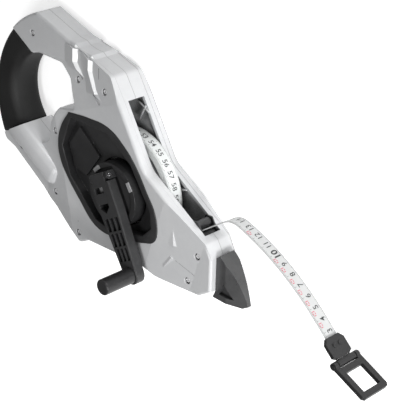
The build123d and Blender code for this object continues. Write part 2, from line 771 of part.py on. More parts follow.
def crank_arm():
    """Folding arm with its windows and ribbed pockets."""
    low = arm_low()
    top = low + ARM_THICK
    arm = slab(arm_outline(0), low, top)
    arm = chamfer(arm.faces().sort_by(Axis.Z)[-1].edges(), ARM_BREAK)
    arm -= slab(polygon(LATCH_WINDOW), low - 1, top + 1)
    arm -= slab(polygon(ARROW_WINDOW), low - 1, top + 1)
    for row in range(3):
        across = POCKET_ACROSS * (1 - POCKET_TAPER * row)
        middle = POCKET_START + POCKET_PITCH * row
        for column in (-1, 0, 1):
            pocket = Pos(middle, across * column, low + ARM_FLOOR + ARM_THICK / 2)
            arm -= pocket * Box(POCKET_PITCH - ARM_RIB, across - ARM_RIB, ARM_THICK)
    front = EAR_RADIUS + ARM_BREAK
    side = ARM_WIDTH / 2 - EAR_THICK - EAR_GAP
    notch = polygon([(-ARM_WIDTH, side), (front, side), (front, ARM_WIDTH), (-ARM_WIDTH, ARM_WIDTH)])
    for side in (1, -1):
        cut = slab(notch, low - 1, top + 1)
        arm -= cut if side > 0 else mirror(cut, about=Plane.XZ)
    arm -= Rot(90, 0, 0) * Cylinder(HINGE_PIN + FIT, 2 * ARM_WIDTH)
    arm -= rod(KNOB_AXLE + FIT, low - 1, top + 1, ARM_LENGTH)
    return crank_frame() * arm


def crank_latch():
    """Spring tongue set in the arm's latch window."""
    low = arm_low() + 1
    tongue = grown(polygon(LATCH_WINDOW), -FIT)
    return crank_frame() * slab(tongue, low, low + LATCH_THICK)


def crank_hinge_pin():
    """Pin of the folding arm."""
    return crank_frame() * (Rot(90, 0, 0) * Cylinder(HINGE_PIN, ARM_WIDTH + PIN_PROUD))


def knob_axle():
    """Rivet that the knob turns on."""
    low = arm_low()
    top = low + ARM_THICK
    return crank_frame() * rod(KNOB_AXLE, low, top + KNOB_LENGTH - KNOB_CAP, ARM_LENGTH)


def crank_knob():
    """Turning knob with a blind bore."""
    low = arm_low() + ARM_THICK + KNOB_GAP
    knob = rod(KNOB_RADIUS, low, low + KNOB_LENGTH, ARM_LENGTH)
    knob = fillet(knob.edges().filter_by(GeomType.CIRCLE).sort_by(Axis.Z)[-1], KNOB_ROUND)
    knob -= rod(KNOB_AXLE + SHAFT_CLEARANCE, low - 1, low + KNOB_LENGTH - KNOB_CAP, ARM_LENGTH)
    return crank_frame() * knob


def clip_frame():
    """Plane of the end clip: origin at the tape's end, X along the tape."""
    end = tape_path()[-1]
    heading = end % 1
    return Plane(origin=tuple(end @ 1), x_dir=tuple(heading), z_dir=(-heading.Y, heading.X, 0))


def clip_plate(side):
    """One of the two plates that clasp the tape's end."""
    base = TAPE_THICK / 2 + FIT
    back = CLIP_LENGTH - CLIP_NOSE
    face = polygon([
        (-back, -MID), (CLIP_FLARE - back, -CLIP_HALF), (CLIP_NOSE - CLIP_CLIPPED, -CLIP_HALF),
        (CLIP_NOSE, -MID), (CLIP_NOSE, MID), (CLIP_NOSE - CLIP_CLIPPED, CLIP_HALF),
        (CLIP_FLARE - back, CLIP_HALF), (-back, MID),
    ])
    plate = slab(face, base, base + CLIP_PLATE)
    for spot in RIVET_PLACES:
        plate -= rod(RIVET_RADIUS + FIT, 0, base + 2 * CLIP_PLATE, -RIVET_SETBACK, spot)
    plate = plate if side > 0 else mirror(plate, about=Plane.XY)
    return clip_frame() * plate


def clip_rivets():
    """Rivets through the clip plates and the tape."""
    reach = TAPE_THICK / 2 + CLIP_PLATE + RIVET_PROUD
    frame = clip_frame()
    return Part() + [frame * rod(RIVET_RADIUS, -reach, reach, -RIVET_SETBACK, spot) for spot in RIVET_PLACES]


def ring_frame():
    """Plane of the end ring: origin at its hinge, X along the ring."""
    hinge = clip_frame() * Pos(CLIP_NOSE + CLIP_NECK + RING_EYE, 0, 0)
    spot = hinge.position
    heading = unit(RING_ANGLE)
    return Plane(origin=tuple(spot), x_dir=tuple(heading), z_dir=(-heading.Y, heading.X, 0))


def clip_hinge():
    """Barrel at the end of the clip with the ring's pivot ends."""
    barrel = Rot(90, 0, 0) * Cylinder(RING_EYE, 2 * CLIP_HALF - 1)
    barrel += Rot(90, 0, 0) * Cylinder(RING_PIN, 2 * RING_HALF)
    reach = RING_EYE + CLIP_NECK - FIT
    thick = 2 * (TAPE_THICK / 2 + CLIP_PLATE + FIT)
    barrel += Pos(-reach / 2, 0, 0) * Box(reach, 2 * MID, thick)
    return Plane(origin=ring_frame().origin, x_dir=clip_frame().x_dir, z_dir=clip_frame().z_dir) * barrel


def end_ring():
    """Folding ring with its window."""
    half = RING_HALF
    tail = -RING_PIN
    plan = polygon([(tail, -half), (RING_LENGTH, -half), (RING_LENGTH, half), (tail, half)])
    ring = slab(plan, -RING_THICK / 2, RING_THICK / 2)
    ring = chamfer(ring.edges().filter_by(Axis.Z), RING_CLIPPED)
    far = RING_LENGTH - RING_BAR
    side = half - RING_BAR
    window = polygon([(RING_NEAR, -side), (far, -side), (far, side), (RING_NEAR, side)])
    ring -= slab(window, -RING_THICK, RING_THICK)
    notch = RING_EYE + RING_PLAY
    ring -= Pos(notch - RING_LENGTH / 2, 0, 0) * Box(RING_LENGTH, 2 * CLIP_HALF, RING_LENGTH)
    eye_middle = CLIP_HALF + RING_PLAY / 2 + RING_EYE_WIDTH / 2
    for lug in (1, -1):
        ring += Rot(90, 0, 0) * Pos(0, 0, lug * eye_middle) * Cylinder(RING_EYE, RING_EYE_WIDTH)
    ring -= Rot(90, 0, 0) * Cylinder(RING_PIN + SHAFT_CLEARANCE, 3 * half)
    return ring_frame() * ring


NODES = {
    "left_shell": left_shell,
    "right_shell": right_shell,
    "shell_screws": shell_screws,
    "handle_grip": handle_grip,
    "left_bezel": left_bezel,
    "right_cover": right_cover,
    "main_axle": main_axle,
    "axle_washer": axle_washer,
    "axle_screw": axle_screw,
    "reel_drum": reel_drum,
    "left_flange": lambda: flange(1),
    "right_flange": lambda: flange(-1),
    "left_bush": lambda: reel_bush(1),
    "right_bush": lambda: reel_bush(-1),
    "wound_tape_core": wound_tape_core,
    "wound_tape_outer_turn": wound_tape_outer_turn,
    "tape_blade": tape_blade,
    "upper_roller": lambda: guide_roller(1),
    "lower_roller": lambda: guide_roller(-1),
    "upper_roller_pin": lambda: roller_pin(1),
    "lower_roller_pin": lambda: roller_pin(-1),
    "mouth_bracket": mouth_bracket,
    "ground_spike": ground_spike,
    "spike_pin": spike_pin,
    "crank_hub": crank_hub,
    "hub_plate": hub_plate,
    "hub_tabs": hub_tabs,
    "crank_arm": crank_arm,
    "crank_latch": crank_latch,
    "crank_hinge_pin": crank_hinge_pin,
    "knob_axle": knob_axle,
    "crank_knob": crank_knob,
    "clip_top_plate": lambda: clip_plate(1),
    "clip_bottom_plate": lambda: clip_plate(-1),
    "clip_rivets": clip_rivets,
    "clip_hinge": clip_hinge,
    "end_ring": end_ring,
}

for name, make in NODES.items():
    export_step(Pos(0, 0, HALF_HUB) * make(), f"parts/{name}.step")
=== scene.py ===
import json
import logging
import math
from dataclasses import dataclass, field
from enum import Enum
from typing import Callable, Dict, Iterable, List, Sequence, Tuple, Union

import bmesh
import bpy
from mathutils import Matrix, Vector


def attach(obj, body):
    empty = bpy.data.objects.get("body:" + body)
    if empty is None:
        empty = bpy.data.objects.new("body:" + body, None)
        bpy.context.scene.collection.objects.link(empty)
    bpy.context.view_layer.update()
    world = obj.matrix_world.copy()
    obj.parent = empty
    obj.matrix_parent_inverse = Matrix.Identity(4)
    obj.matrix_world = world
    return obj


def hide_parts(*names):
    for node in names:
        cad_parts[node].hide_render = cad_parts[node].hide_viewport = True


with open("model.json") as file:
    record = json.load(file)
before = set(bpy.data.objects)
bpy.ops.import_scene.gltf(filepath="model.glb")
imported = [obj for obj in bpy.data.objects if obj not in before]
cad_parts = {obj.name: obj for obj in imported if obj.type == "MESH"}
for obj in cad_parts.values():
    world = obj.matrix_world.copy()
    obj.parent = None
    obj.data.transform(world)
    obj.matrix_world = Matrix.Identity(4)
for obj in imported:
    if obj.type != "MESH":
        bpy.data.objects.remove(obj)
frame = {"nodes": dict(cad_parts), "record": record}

LOG = logging.getLogger("tape_measure")

MM = 0.001
CENTIMETRE = 10
MERGE = 0.002 * MM
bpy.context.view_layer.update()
WHITE = (1.0, 1.0, 1.0, 1.0)

Colour = Tuple[float, float, float]
Point = Tuple[float, float, float]
Pair = Tuple[float, float]
Socket = bpy.types.NodeSocket
Level = Union[Socket, float]
Tint = Union[Socket, Colour]
Outline = Tuple[List[Vector], List[Tuple[int, ...]]]


class Grain(Enum):
    """Kinds of surface relief."""

    SPARK = "spark"
    PEBBLE = "pebble"
    BRUSHED = "brushed"
    SATIN = "satin"


class Side(Enum):
    """Sides of the casing, and which way each one faces along the reel's axis."""

    CRANK = 1
    PLAIN = -1


class Face(Enum):
    """Faces of a strip, to the left or the right of its route."""

    LEFT = 1
    RIGHT = -1


class Growth(Enum):
    """Ways that printed numbers grow: along the strip's route or against it."""

    ALONG = 1
    AGAINST = -1


@dataclass(frozen=True)
class Finish:
    """How one kind of surface looks.

    Attributes:
        name: Material name.
        base: Main colour, linear.
        shade: Second colour that the blotches lean to, linear.
        roughness: Middle of the roughness range.
        spread: Half width of the roughness range.
        metallic: Share of metal reflection.
        coat: Weight of the clear coat.
        grain: Kind of relief.
        grain_mm: Size of one grain.
        depth_mm: Height of the relief.
        blotch_mm: Size of the slow colour changes.
        wear: Strength of the lighter tone along edges.
        hollow: Strength of the painted shade, a darker tone in hollows.
        seam_mm: Height of the moulding's parting line above the resting face, or 0 for none.
        shine: Level of the plain reflection.
    """

    name: str
    base: Colour
    shade: Colour
    roughness: float
    spread: float = 0.06
    metallic: float = 0.0
    coat: float = 0.0
    grain: Grain = Grain.SATIN
    grain_mm: float = 0.6
    depth_mm: float = 0.02
    blotch_mm: float = 28.0
    wear: float = 0.0
    hollow: float = 0.0
    seam_mm: float = 0.0
    shine: float = 0.5


SILVER = Finish(
    "silver_paint", (0.53, 0.535, 0.54), (0.48, 0.485, 0.495), roughness=0.42, spread=0.05, metallic=0.10,
    coat=0.04, grain=Grain.SPARK, grain_mm=0.35, depth_mm=0.008, blotch_mm=45.0, wear=0.35, hollow=0.95,
    seam_mm=19.0,
)
# Painted highlight: a light copy of the silver paint for the step bevels that face the front light.
BEVEL_HIGHLIGHT = Finish(
    "bevel_painted_highlight", (0.86, 0.865, 0.87), (0.80, 0.805, 0.81), roughness=0.36, spread=0.05, metallic=0.10,
    coat=0.10, grain=Grain.SPARK, grain_mm=0.35, depth_mm=0.006, blotch_mm=45.0, wear=0.2, hollow=0.2,
)
# Painted shadow: the dark tone of the fine plate lines, standing for shadow in the grooves.
PAINTED_GROOVE_SHADOW = Finish("groove_shadow", (0.10, 0.10, 0.105), (0.14, 0.14, 0.145), roughness=0.55, spread=0.05)
# Painted shadow: the near-black tone put on the screws' collars for the shadow in their wells.
WELL_SHADOW = Finish("screw_well_shadow", (0.022, 0.022, 0.023), (0.034, 0.034, 0.035), roughness=0.6, spread=0.05)
BLACK = Finish(
    "black_plastic", (0.014, 0.014, 0.0145), (0.024, 0.024, 0.025), roughness=0.42, spread=0.07,
    grain=Grain.PEBBLE, grain_mm=0.55, blotch_mm=24.0, wear=0.12, hollow=0.3,
)
ARM = Finish(
    "arm_plastic", (0.020, 0.020, 0.0205), (0.031, 0.031, 0.032), roughness=0.40, grain=Grain.PEBBLE,
    grain_mm=0.5, depth_mm=0.016, blotch_mm=20.0, wear=0.14, hollow=0.4, shine=0.36,
)
CAST = Finish(
    "cast_black", (0.0085, 0.0085, 0.009), (0.017, 0.017, 0.0175), roughness=0.46, spread=0.10,
    grain=Grain.PEBBLE, grain_mm=1.1, depth_mm=0.09, blotch_mm=12.0, wear=0.22, hollow=0.4, shine=0.36,
)
SPIKE = Finish(
    "spike_plastic", (0.036, 0.036, 0.037), (0.052, 0.052, 0.053), roughness=0.32, grain=Grain.PEBBLE,
    grain_mm=0.45, depth_mm=0.012, blotch_mm=22.0, wear=0.12, hollow=0.3,
)
RUBBER = Finish(
    "grip_rubber", (0.008, 0.008, 0.008), (0.014, 0.014, 0.014), roughness=0.62, spread=0.08,
    grain=Grain.PEBBLE, grain_mm=0.8, depth_mm=0.05, blotch_mm=30.0, wear=0.08, hollow=0.2, shine=0.3,
)
KNOB = Finish(
    "knob_plastic", (0.017, 0.017, 0.0175), (0.026, 0.026, 0.027), roughness=0.33, spread=0.05, coat=0.05,
    depth_mm=0.006, blotch_mm=18.0, wear=0.1, hollow=0.2, shine=0.28,
)
# Painted light and shade: one tape lacquer in two tones, lighter on the wound tape and darker on the free
# tape, set for how each is lit.
TAPE = Finish(
    "tape_lacquer", (0.58, 0.595, 0.59), (0.53, 0.545, 0.54), roughness=0.34, spread=0.05, coat=0.2,
    grain_mm=1.4, depth_mm=0.004, blotch_mm=35.0,
)
FREE_TAPE = Finish(
    "free_tape_lacquer", (0.50, 0.508, 0.506), (0.465, 0.473, 0.471), roughness=0.42, spread=0.05, coat=0.05,
    grain_mm=1.4, depth_mm=0.004, blotch_mm=35.0,
)
STEEL = Finish(
    "bright_steel", (0.62, 0.62, 0.63), (0.50, 0.50, 0.51), roughness=0.28, spread=0.08, metallic=1.0,
    grain=Grain.BRUSHED, grain_mm=0.25, depth_mm=0.004, blotch_mm=9.0, wear=0.2, hollow=0.2,
)
SCREW = Finish(
    "screw_zinc", (0.88, 0.88, 0.89), (0.76, 0.76, 0.77), roughness=0.32, metallic=0.35,
    grain=Grain.BRUSHED, grain_mm=0.25, depth_mm=0.004, blotch_mm=6.0, wear=0.2,
)
BRASS = Finish(
    "bush_brass", (0.62, 0.45, 0.20), (0.50, 0.35, 0.15), roughness=0.34, spread=0.08, metallic=1.0,
    grain=Grain.BRUSHED, grain_mm=0.25, depth_mm=0.004, blotch_mm=9.0, wear=0.1, hollow=0.2,
)
TAB = Finish(
    "tab_grey", (0.30, 0.30, 0.305), (0.25, 0.25, 0.255), roughness=0.42, spread=0.05, grain_mm=0.5,
    depth_mm=0.008, blotch_mm=8.0, wear=0.2, hollow=0.2,
)
REEL = Finish(
    "reel_plastic", (0.026, 0.026, 0.027), (0.040, 0.040, 0.041), roughness=0.45, grain=Grain.PEBBLE,
    depth_mm=0.015, blotch_mm=20.0, wear=0.1, hollow=0.3,
)
INK = Finish("scale_ink", (0.018, 0.018, 0.020), (0.030, 0.030, 0.032), roughness=0.5, spread=0.05)
RED_INK = Finish("red_ink", (0.50, 0.07, 0.12), (0.52, 0.16, 0.20), roughness=0.5, spread=0.05)

SLOT_FINISH: Dict[str, Finish] = {
    "casing_silver": SILVER,
    "black_plastic": BLACK,
    "grip_rubber": RUBBER,
    "knob_plastic": KNOB,
    "tape_white": TAPE,
    "steel": STEEL,
    "bush_brass": BRASS,
    "tab_grey": TAB,
    "reel_plastic": REEL,
}

NODE_FINISH: Dict[str, Finish] = {
    "crank_arm": ARM,
    "crank_latch": TAB,
    "ground_spike": SPIKE,
    "end_ring": CAST,
    "clip_top_plate": CAST,
    "clip_bottom_plate": CAST,
    "clip_hinge": CAST,
    "clip_rivets": CAST,
    "hub_plate": ARM,
}


class Graph:
    """Short ways of adding and joining shader nodes in one node tree."""

    MIX_COLOURS = (6, 7)
    MIX_RESULT = 2

    def __init__(self, tree: bpy.types.NodeTree) -> None:
        """Keeps the node tree that gets the nodes."""
        self.tree = tree

    def add(self, kind: str, **settings: object) -> bpy.types.Node:
        """Adds a node.

        Args:
            kind: Node type name without its ShaderNode prefix.
            **settings: Properties of the node, set as they are.

        Returns:
            The new node.
        """
        known = kind if kind.startswith("NodeGroup") else f"ShaderNode{kind}"
        node = self.tree.nodes.new(known)
        for key, value in settings.items():
            setattr(node, key, value)
        return node

    def join(self, source: Socket, target: Socket) -> None:
        """Links an output socket to an input socket."""
        self.tree.links.new(source, target)

    def feed(self, target: Socket, value: Level) -> None:
        """Links a socket to an input, or sets the input to a number.

        Args:
            target: Input socket.
            value: Output socket or number.
        """
        if isinstance(value, Socket):
            self.join(value, target)
        else:
            target.default_value = value

    def maths(self, operation: str, first: Level, second: Level) -> Socket:
        """Adds a Math node.

        Args:
            operation: Operation name.
            first: Output socket or number.
            second: Output socket or number.

        Returns:
            The result's output socket.
        """
        node = self.add("Math", operation=operation)
        self.feed(node.inputs[0], first)
        self.feed(node.inputs[1], second)
        return node.outputs[0]

    def blend(self, first: Socket, second: Socket, share: float) -> Socket:
        """Adds two values up, the first by its share and the second by the rest."""
        parts = (self.maths("MULTIPLY", first, share), self.maths("MULTIPLY", second, 1.0 - share))
        return self.maths("ADD", *parts)

    def spread(self, value: Socket, span: Pair, result: Pair = (0.0, 1.0)) -> Socket:
        """Maps a value from one range to another, held at the ends.

        Args:
            value: Output socket.
            span: Start and end of the range read.
            result: Results at the start and at the end.

        Returns:
            The result's output socket.
        """
        node = self.add("MapRange", clamp=True)
        for name, number in zip(("From Min", "From Max", "To Min", "To Max"), (*span, *result)):
            node.inputs[name].default_value = number
        self.join(value, node.inputs["Value"])
        return node.outputs["Result"]

    def noise(self, vector: Socket, scale: Level, detail: float = 3.0, roughness: float = 0.55) -> Socket:
        """Adds a noise texture.

        Args:
            vector: Output socket of the coordinates.
            scale: Output socket or number.
            detail: Number of octaves.
            roughness: Weight of the fine octaves.

        Returns:
            The factor's output socket.
        """
        node = self.add("TexNoise")
        node.inputs["Detail"].default_value = detail
        node.inputs["Roughness"].default_value = roughness
        self.join(vector, node.inputs["Vector"])
        self.feed(node.inputs["Scale"], scale)
        return node.outputs["Fac"]

    def cells(self, vector: Socket, scale: Socket, feature: str) -> bpy.types.Node:
        """Adds a cell texture.

        Args:
            vector: Output socket of the coordinates.
            scale: Output socket of the scale.
            feature: Which distance it measures.

        Returns:
            The new node.
        """
        node = self.add("TexVoronoi", feature=feature)
        self.join(vector, node.inputs["Vector"])
        self.join(scale, node.inputs["Scale"])
        return node

    def mix(self, factor: Socket, first: Tint, second: Tint) -> Socket:
        """Mixes two colours.

        Args:
            factor: Output socket of the share of the second colour.
            first: Colour or output socket.
            second: Colour or output socket.

        Returns:
            The mixed colour's output socket.
        """
        node = self.add("Mix", data_type="RGBA")
        self.join(factor, node.inputs[0])
        for index, value in zip(self.MIX_COLOURS, (first, second)):
            self.feed(node.inputs[index], (*value, 1.0) if isinstance(value, tuple) else value)
        return node.outputs[self.MIX_RESULT]


class Effects:
    """Node groups that several finishes share."""

    BLOTCH_SPAN = (0.32, 0.68)
    CLOUD_SHARE = 0.75
    SPECK_SCALE = 9.0
    FLAKE_SPAN = (0.1, 0.75)
    FLAKE_SHARE = 0.55
    FILM_SCALE = 0.22
    PEBBLE_SOFTNESS = 0.6
    PEBBLE_SHARE = 0.7
    PIT_SCALE = 1.7
    DRAWN_OUT = (1.0, 1.0, 0.06)
    EDGE_RADIUS = 0.5
    EDGE_SPAN = (0.99, 0.80)
    EDGE_SAMPLES = 6
    # Painted shade: ambient occlusion finds hollows, creases and recesses, and the colour is darkened there.
    HOLLOW_REACH = 30.0
    HOLLOW_SPAN = (0.42, 0.10)
    HOLLOW_SAMPLES = 8

    def __init__(self) -> None:
        """Builds every group once."""
        self.blotch = self._group("slow_blotch", self._blotch)
        self.reliefs = {
            Grain.SPARK: self._group("spark_relief", self._spark),
            Grain.PEBBLE: self._group("pebble_relief", self._pebble),
            Grain.BRUSHED: self._group("brushed_relief", self._brushed),
            Grain.SATIN: self._group("satin_relief", self._satin),
        }
        self.edge = self._edge_group()

    @staticmethod
    def _group(name: str, fill: Callable[[Graph, Socket, Socket], Socket]) -> bpy.types.NodeTree:
        """Makes a group that turns coordinates and a scale into one value.

        Args:
            name: Group name.
            fill: Adds the nodes and returns the value's socket.

        Returns:
            The new group.
        """
        tree = bpy.data.node_groups.new(name, "ShaderNodeTree")
        tree.interface.new_socket("Vector", in_out="INPUT", socket_type="NodeSocketVector")
        tree.interface.new_socket("Scale", in_out="INPUT", socket_type="NodeSocketFloat")
        tree.interface.new_socket("Value", in_out="OUTPUT", socket_type="NodeSocketFloat")
        graph = Graph(tree)
        entry = graph.add("NodeGroupInput")
        leave = graph.add("NodeGroupOutput")
        graph.join(fill(graph, entry.outputs["Vector"], entry.outputs["Scale"]), leave.inputs["Value"])
        return tree

    def _blotch(self, graph: Graph, vector: Socket, scale: Socket) -> Socket:
        """Adds slow cloudy changes with a few sharper spots.

        Args:
            graph: The group's graph.
            vector: Output socket of the coordinates.
            scale: Output socket of the scale.

        Returns:
            The value's output socket.
        """
        clouds = graph.noise(vector, scale, detail=4.0, roughness=0.6)
        fine = graph.maths("MULTIPLY", scale, self.SPECK_SCALE)
        specks = graph.noise(vector, fine, detail=2.0, roughness=0.5)
        return graph.spread(graph.blend(clouds, specks, self.CLOUD_SHARE), self.BLOTCH_SPAN)

    def _spark(self, graph: Graph, vector: Socket, scale: Socket) -> Socket:
        """Adds fine flakes under a paint film.

        Args:
            graph: The group's graph.
            vector: Output socket of the coordinates.
            scale: Output socket of the scale.

        Returns:
            The value's output socket.
        """
        cells = graph.cells(vector, scale, "F1")
        coarse = graph.maths("MULTIPLY", scale, self.FILM_SCALE)
        film = graph.noise(vector, coarse, detail=2.0, roughness=0.5)
        flakes = graph.spread(cells.outputs["Distance"], self.FLAKE_SPAN)
        return graph.blend(flakes, film, self.FLAKE_SHARE)

    def _pebble(self, graph: Graph, vector: Socket, scale: Socket) -> Socket:
        """Adds the rounded pebbles of an eroded mould.

        Args:
            graph: The group's graph.
            vector: Output socket of the coordinates.
            scale: Output socket of the scale.

        Returns:
            The value's output socket.
        """
        cells = graph.cells(vector, scale, "SMOOTH_F1")
        cells.inputs["Smoothness"].default_value = self.PEBBLE_SOFTNESS
        fine = graph.maths("MULTIPLY", scale, self.PIT_SCALE)
        pits = graph.noise(vector, fine, detail=3.0, roughness=0.6)
        pebbles = graph.maths("SUBTRACT", 1.0, cells.outputs["Distance"])
        return graph.blend(pebbles, pits, self.PEBBLE_SHARE)

    def _brushed(self, graph: Graph, vector: Socket, scale: Socket) -> Socket:
        """Adds the fine lines of turned or drawn metal.

        Args:
            graph: The group's graph.
            vector: Output socket of the coordinates.
            scale: Output socket of the scale.

        Returns:
            The value's output socket.
        """
        stretch = graph.add("Mapping")
        stretch.inputs["Scale"].default_value = self.DRAWN_OUT
        graph.join(vector, stretch.inputs["Vector"])
        return graph.noise(stretch.outputs["Vector"], scale, detail=4.0, roughness=0.65)

    def _satin(self, graph: Graph, vector: Socket, scale: Socket) -> Socket:
        """Adds a barely waved smooth surface."""
        return graph.noise(vector, scale, detail=2.0, roughness=0.45)

    def _edge_group(self) -> bpy.types.NodeTree:
        """Makes the group that finds edges, and the hollows that get the painted shade.

        Returns:
            A group with a rounded normal, an edge mask and a mask of the painted shade in hollows.
        """
        tree = bpy.data.node_groups.new("edges_and_hollow_shade", "ShaderNodeTree")
        tree.interface.new_socket("Normal", in_out="OUTPUT", socket_type="NodeSocketVector")
        tree.interface.new_socket("Edge", in_out="OUTPUT", socket_type="NodeSocketFloat")
        tree.interface.new_socket("Hollow", in_out="OUTPUT", socket_type="NodeSocketFloat")
        graph = Graph(tree)
        leave = graph.add("NodeGroupOutput")
        rounded = graph.add("Bevel", samples=self.EDGE_SAMPLES)
        rounded.inputs["Radius"].default_value = self.EDGE_RADIUS * MM
        flat = graph.add("NewGeometry")
        dot = graph.add("VectorMath", operation="DOT_PRODUCT")
        graph.join(rounded.outputs["Normal"], dot.inputs[0])
        graph.join(flat.outputs["Normal"], dot.inputs[1])
        shade = graph.add("AmbientOcclusion", samples=self.HOLLOW_SAMPLES)
        shade.inputs["Distance"].default_value = self.HOLLOW_REACH * MM
        graph.join(rounded.outputs["Normal"], leave.inputs["Normal"])
        graph.join(graph.spread(dot.outputs["Value"], self.EDGE_SPAN), leave.inputs["Edge"])
        graph.join(graph.spread(shade.outputs["AO"], self.HOLLOW_SPAN), leave.inputs["Hollow"])
        return tree


class Painter:
    """Turns finishes into materials, one of each."""

    COAT_ROUGHNESS = 0.18
    ROUGH_SHARE = 0.5
    ROUGH_SPAN = (0.2, 0.8)
    WORN_GAIN = 1.5
    WORN_LIFT = 0.04
    # Near-black tone of the painted shade in hollows.
    HOLLOW_TONE = (0.012, 0.012, 0.013)
    SEAM_TONE = (0.05, 0.05, 0.05)
    SEAM_CORE = 0.08
    SEAM_REACH = 0.26
    SEAM_STRENGTH = 0.7

    def __init__(self) -> None:
        """Starts with no materials."""
        self.effects = Effects()
        self.made: Dict[str, bpy.types.Material] = {}

    def material(self, finish: Finish) -> bpy.types.Material:
        """Gives the material of a finish.

        Args:
            finish: The finish wanted.

        Returns:
            The material, made on first use.
        """
        if finish.name not in self.made:
            self.made[finish.name] = self._make(finish)
        return self.made[finish.name]

    def paint(self, piece: bpy.types.Object, finish: Finish) -> None:
        """Puts one finish on every slot of a piece.

        Args:
            piece: Mesh object.
            finish: The finish wanted.
        """
        material = self.material(finish)
        if not piece.material_slots:
            piece.data.materials.append(material)
        for place in piece.material_slots:
            place.material = material

    def _make(self, finish: Finish) -> bpy.types.Material:
        """Builds the nodes of one material.

        Args:
            finish: The finish to build.

        Returns:
            The new material.
        """
        material = bpy.data.materials.new(finish.name)
        material.use_nodes = True
        material.diffuse_color = (*finish.base, 1.0)
        graph = Graph(material.node_tree)
        shader = material.node_tree.nodes["Principled BSDF"]
        shader.inputs["Metallic"].default_value = finish.metallic
        shader.inputs["Coat Weight"].default_value = finish.coat
        shader.inputs["Coat Roughness"].default_value = self.COAT_ROUGHNESS
        shader.inputs["Specular IOR Level"].default_value = finish.shine
        where = graph.add("TexCoord").outputs["Object"]

        blotch = self._use(graph, self.effects.blotch, where, finish.blotch_mm)
        relief = self._use(graph, self.effects.reliefs[finish.grain], where, finish.grain_mm)
        colour = graph.mix(blotch, finish.base, finish.shade)
        bump = graph.add("Bump")
        bump.inputs["Strength"].default_value = 1.0
        bump.inputs["Distance"].default_value = finish.depth_mm * MM
        graph.join(relief, bump.inputs["Height"])
        around = (finish.roughness - finish.spread, finish.roughness + finish.spread)
        rough = graph.spread(graph.blend(blotch, relief, self.ROUGH_SHARE), self.ROUGH_SPAN, around)

        if finish.wear or finish.hollow:
            edge = graph.add("Group", node_tree=self.effects.edge)
            graph.join(edge.outputs["Normal"], bump.inputs["Normal"])
            rubbed = graph.maths("MULTIPLY", edge.outputs["Edge"], blotch)
            worn = tuple(min(1.0, channel * self.WORN_GAIN + self.WORN_LIFT) for channel in finish.base)
            colour = graph.mix(graph.maths("MULTIPLY", rubbed, finish.wear), colour, worn)
            # Painted shade: the colour is darkened towards a near-black tone where ambient occlusion finds a
            # hollow.
            painted_shade = graph.maths("MULTIPLY", edge.outputs["Hollow"], finish.hollow)
            colour = graph.mix(painted_shade, colour, self.HOLLOW_TONE)
        if finish.seam_mm:
            colour = graph.mix(self._seam(graph, where, finish.seam_mm), colour, self.SEAM_TONE)
        graph.join(colour, shader.inputs["Base Color"])
        graph.join(rough, shader.inputs["Roughness"])
        graph.join(bump.outputs["Normal"], shader.inputs["Normal"])
        return material

    def _seam(self, graph: Graph, where: Socket, height_mm: float) -> Socket:
        """Finds the parting line.

        Args:
            graph: The material's graph.
            where: Output socket of the coordinates.
            height_mm: Height of the line.

        Returns:
            Output socket of a mask, strongest on the line.
        """
        axes = graph.add("SeparateXYZ")
        graph.join(where, axes.inputs[0])
        off = graph.maths("ABSOLUTE", graph.maths("SUBTRACT", axes.outputs["Z"], height_mm * MM), 0.0)
        return graph.spread(off, (self.SEAM_CORE * MM, self.SEAM_REACH * MM), (self.SEAM_STRENGTH, 0.0))

    @staticmethod
    def _use(graph: Graph, group: bpy.types.NodeTree, where: Socket, size_mm: float) -> Socket:
        """Puts a value group in a material.

        Args:
            graph: The material's graph.
            group: Group to use.
            where: Output socket of the coordinates.
            size_mm: Size of one feature.

        Returns:
            The value's output socket.
        """
        node = graph.add("Group", node_tree=group)
        node.inputs["Scale"].default_value = 1.0 / (size_mm * MM)
        graph.join(where, node.inputs["Vector"])
        return node.outputs["Value"]


def loft(made: bmesh.types.BMesh, rows: Iterable[Sequence[Vector]]) -> None:
    """Draws a closed bar through cross sections, one bridge after another.

    Args:
        made: Mesh that gets the bar.
        rows: Cross sections from first to last, in metres.
    """
    loops = []
    for row in rows:
        corners = [made.verts.new(point) for point in row]
        loops.append([made.edges.new(pair) for pair in zip(corners, corners[1:] + corners[:1])])
    for near, far in zip(loops, loops[1:]):
        bmesh.ops.bridge_loops(made, edges=near + far)
    for end in (loops[0], loops[-1]):
        bmesh.ops.contextual_create(made, geom=end)


def shade(made: bmesh.types.BMesh, angle: float) -> None:
    """Shades a mesh smooth, apart from its sharp edges.

    Args:
        made: Mesh to shade.
        angle: Largest angle in degrees across which it is smooth.
    """
    for face in made.faces:
        face.smooth = True
    for edge in made.edges:
        edge.smooth = edge.is_manifold and edge.calc_face_angle(0.0) < math.radians(angle)


def new_object(made: bmesh.types.BMesh, name: str) -> bpy.types.Object:
    """Makes a finished mesh an object of the scene.

    Args:
        made: Finished mesh, which is freed.
        name: Name of the object.

    Returns:
        The new object.
    """
    mesh = bpy.data.meshes.new(name)
    made.to_mesh(mesh)
    made.free()
    piece = bpy.data.objects.new(name, mesh)
    bpy.context.scene.collection.objects.link(piece)
    return piece


def mesh_of(curve: bpy.types.Curve) -> bpy.types.Mesh:
    """Turns a curve or a text into a mesh.

    Args:
        curve: The curve, which is deleted.

    Returns:
        The new mesh.
    """
    holder = bpy.data.objects.new(curve.name, curve)
    bpy.context.scene.collection.objects.link(holder)
    bpy.context.view_layer.update()
    mesh = bpy.data.meshes.new_from_object(holder.evaluated_get(bpy.context.evaluated_depsgraph_get()))
    bpy.data.objects.remove(holder)
    bpy.data.curves.remove(curve)
    return mesh


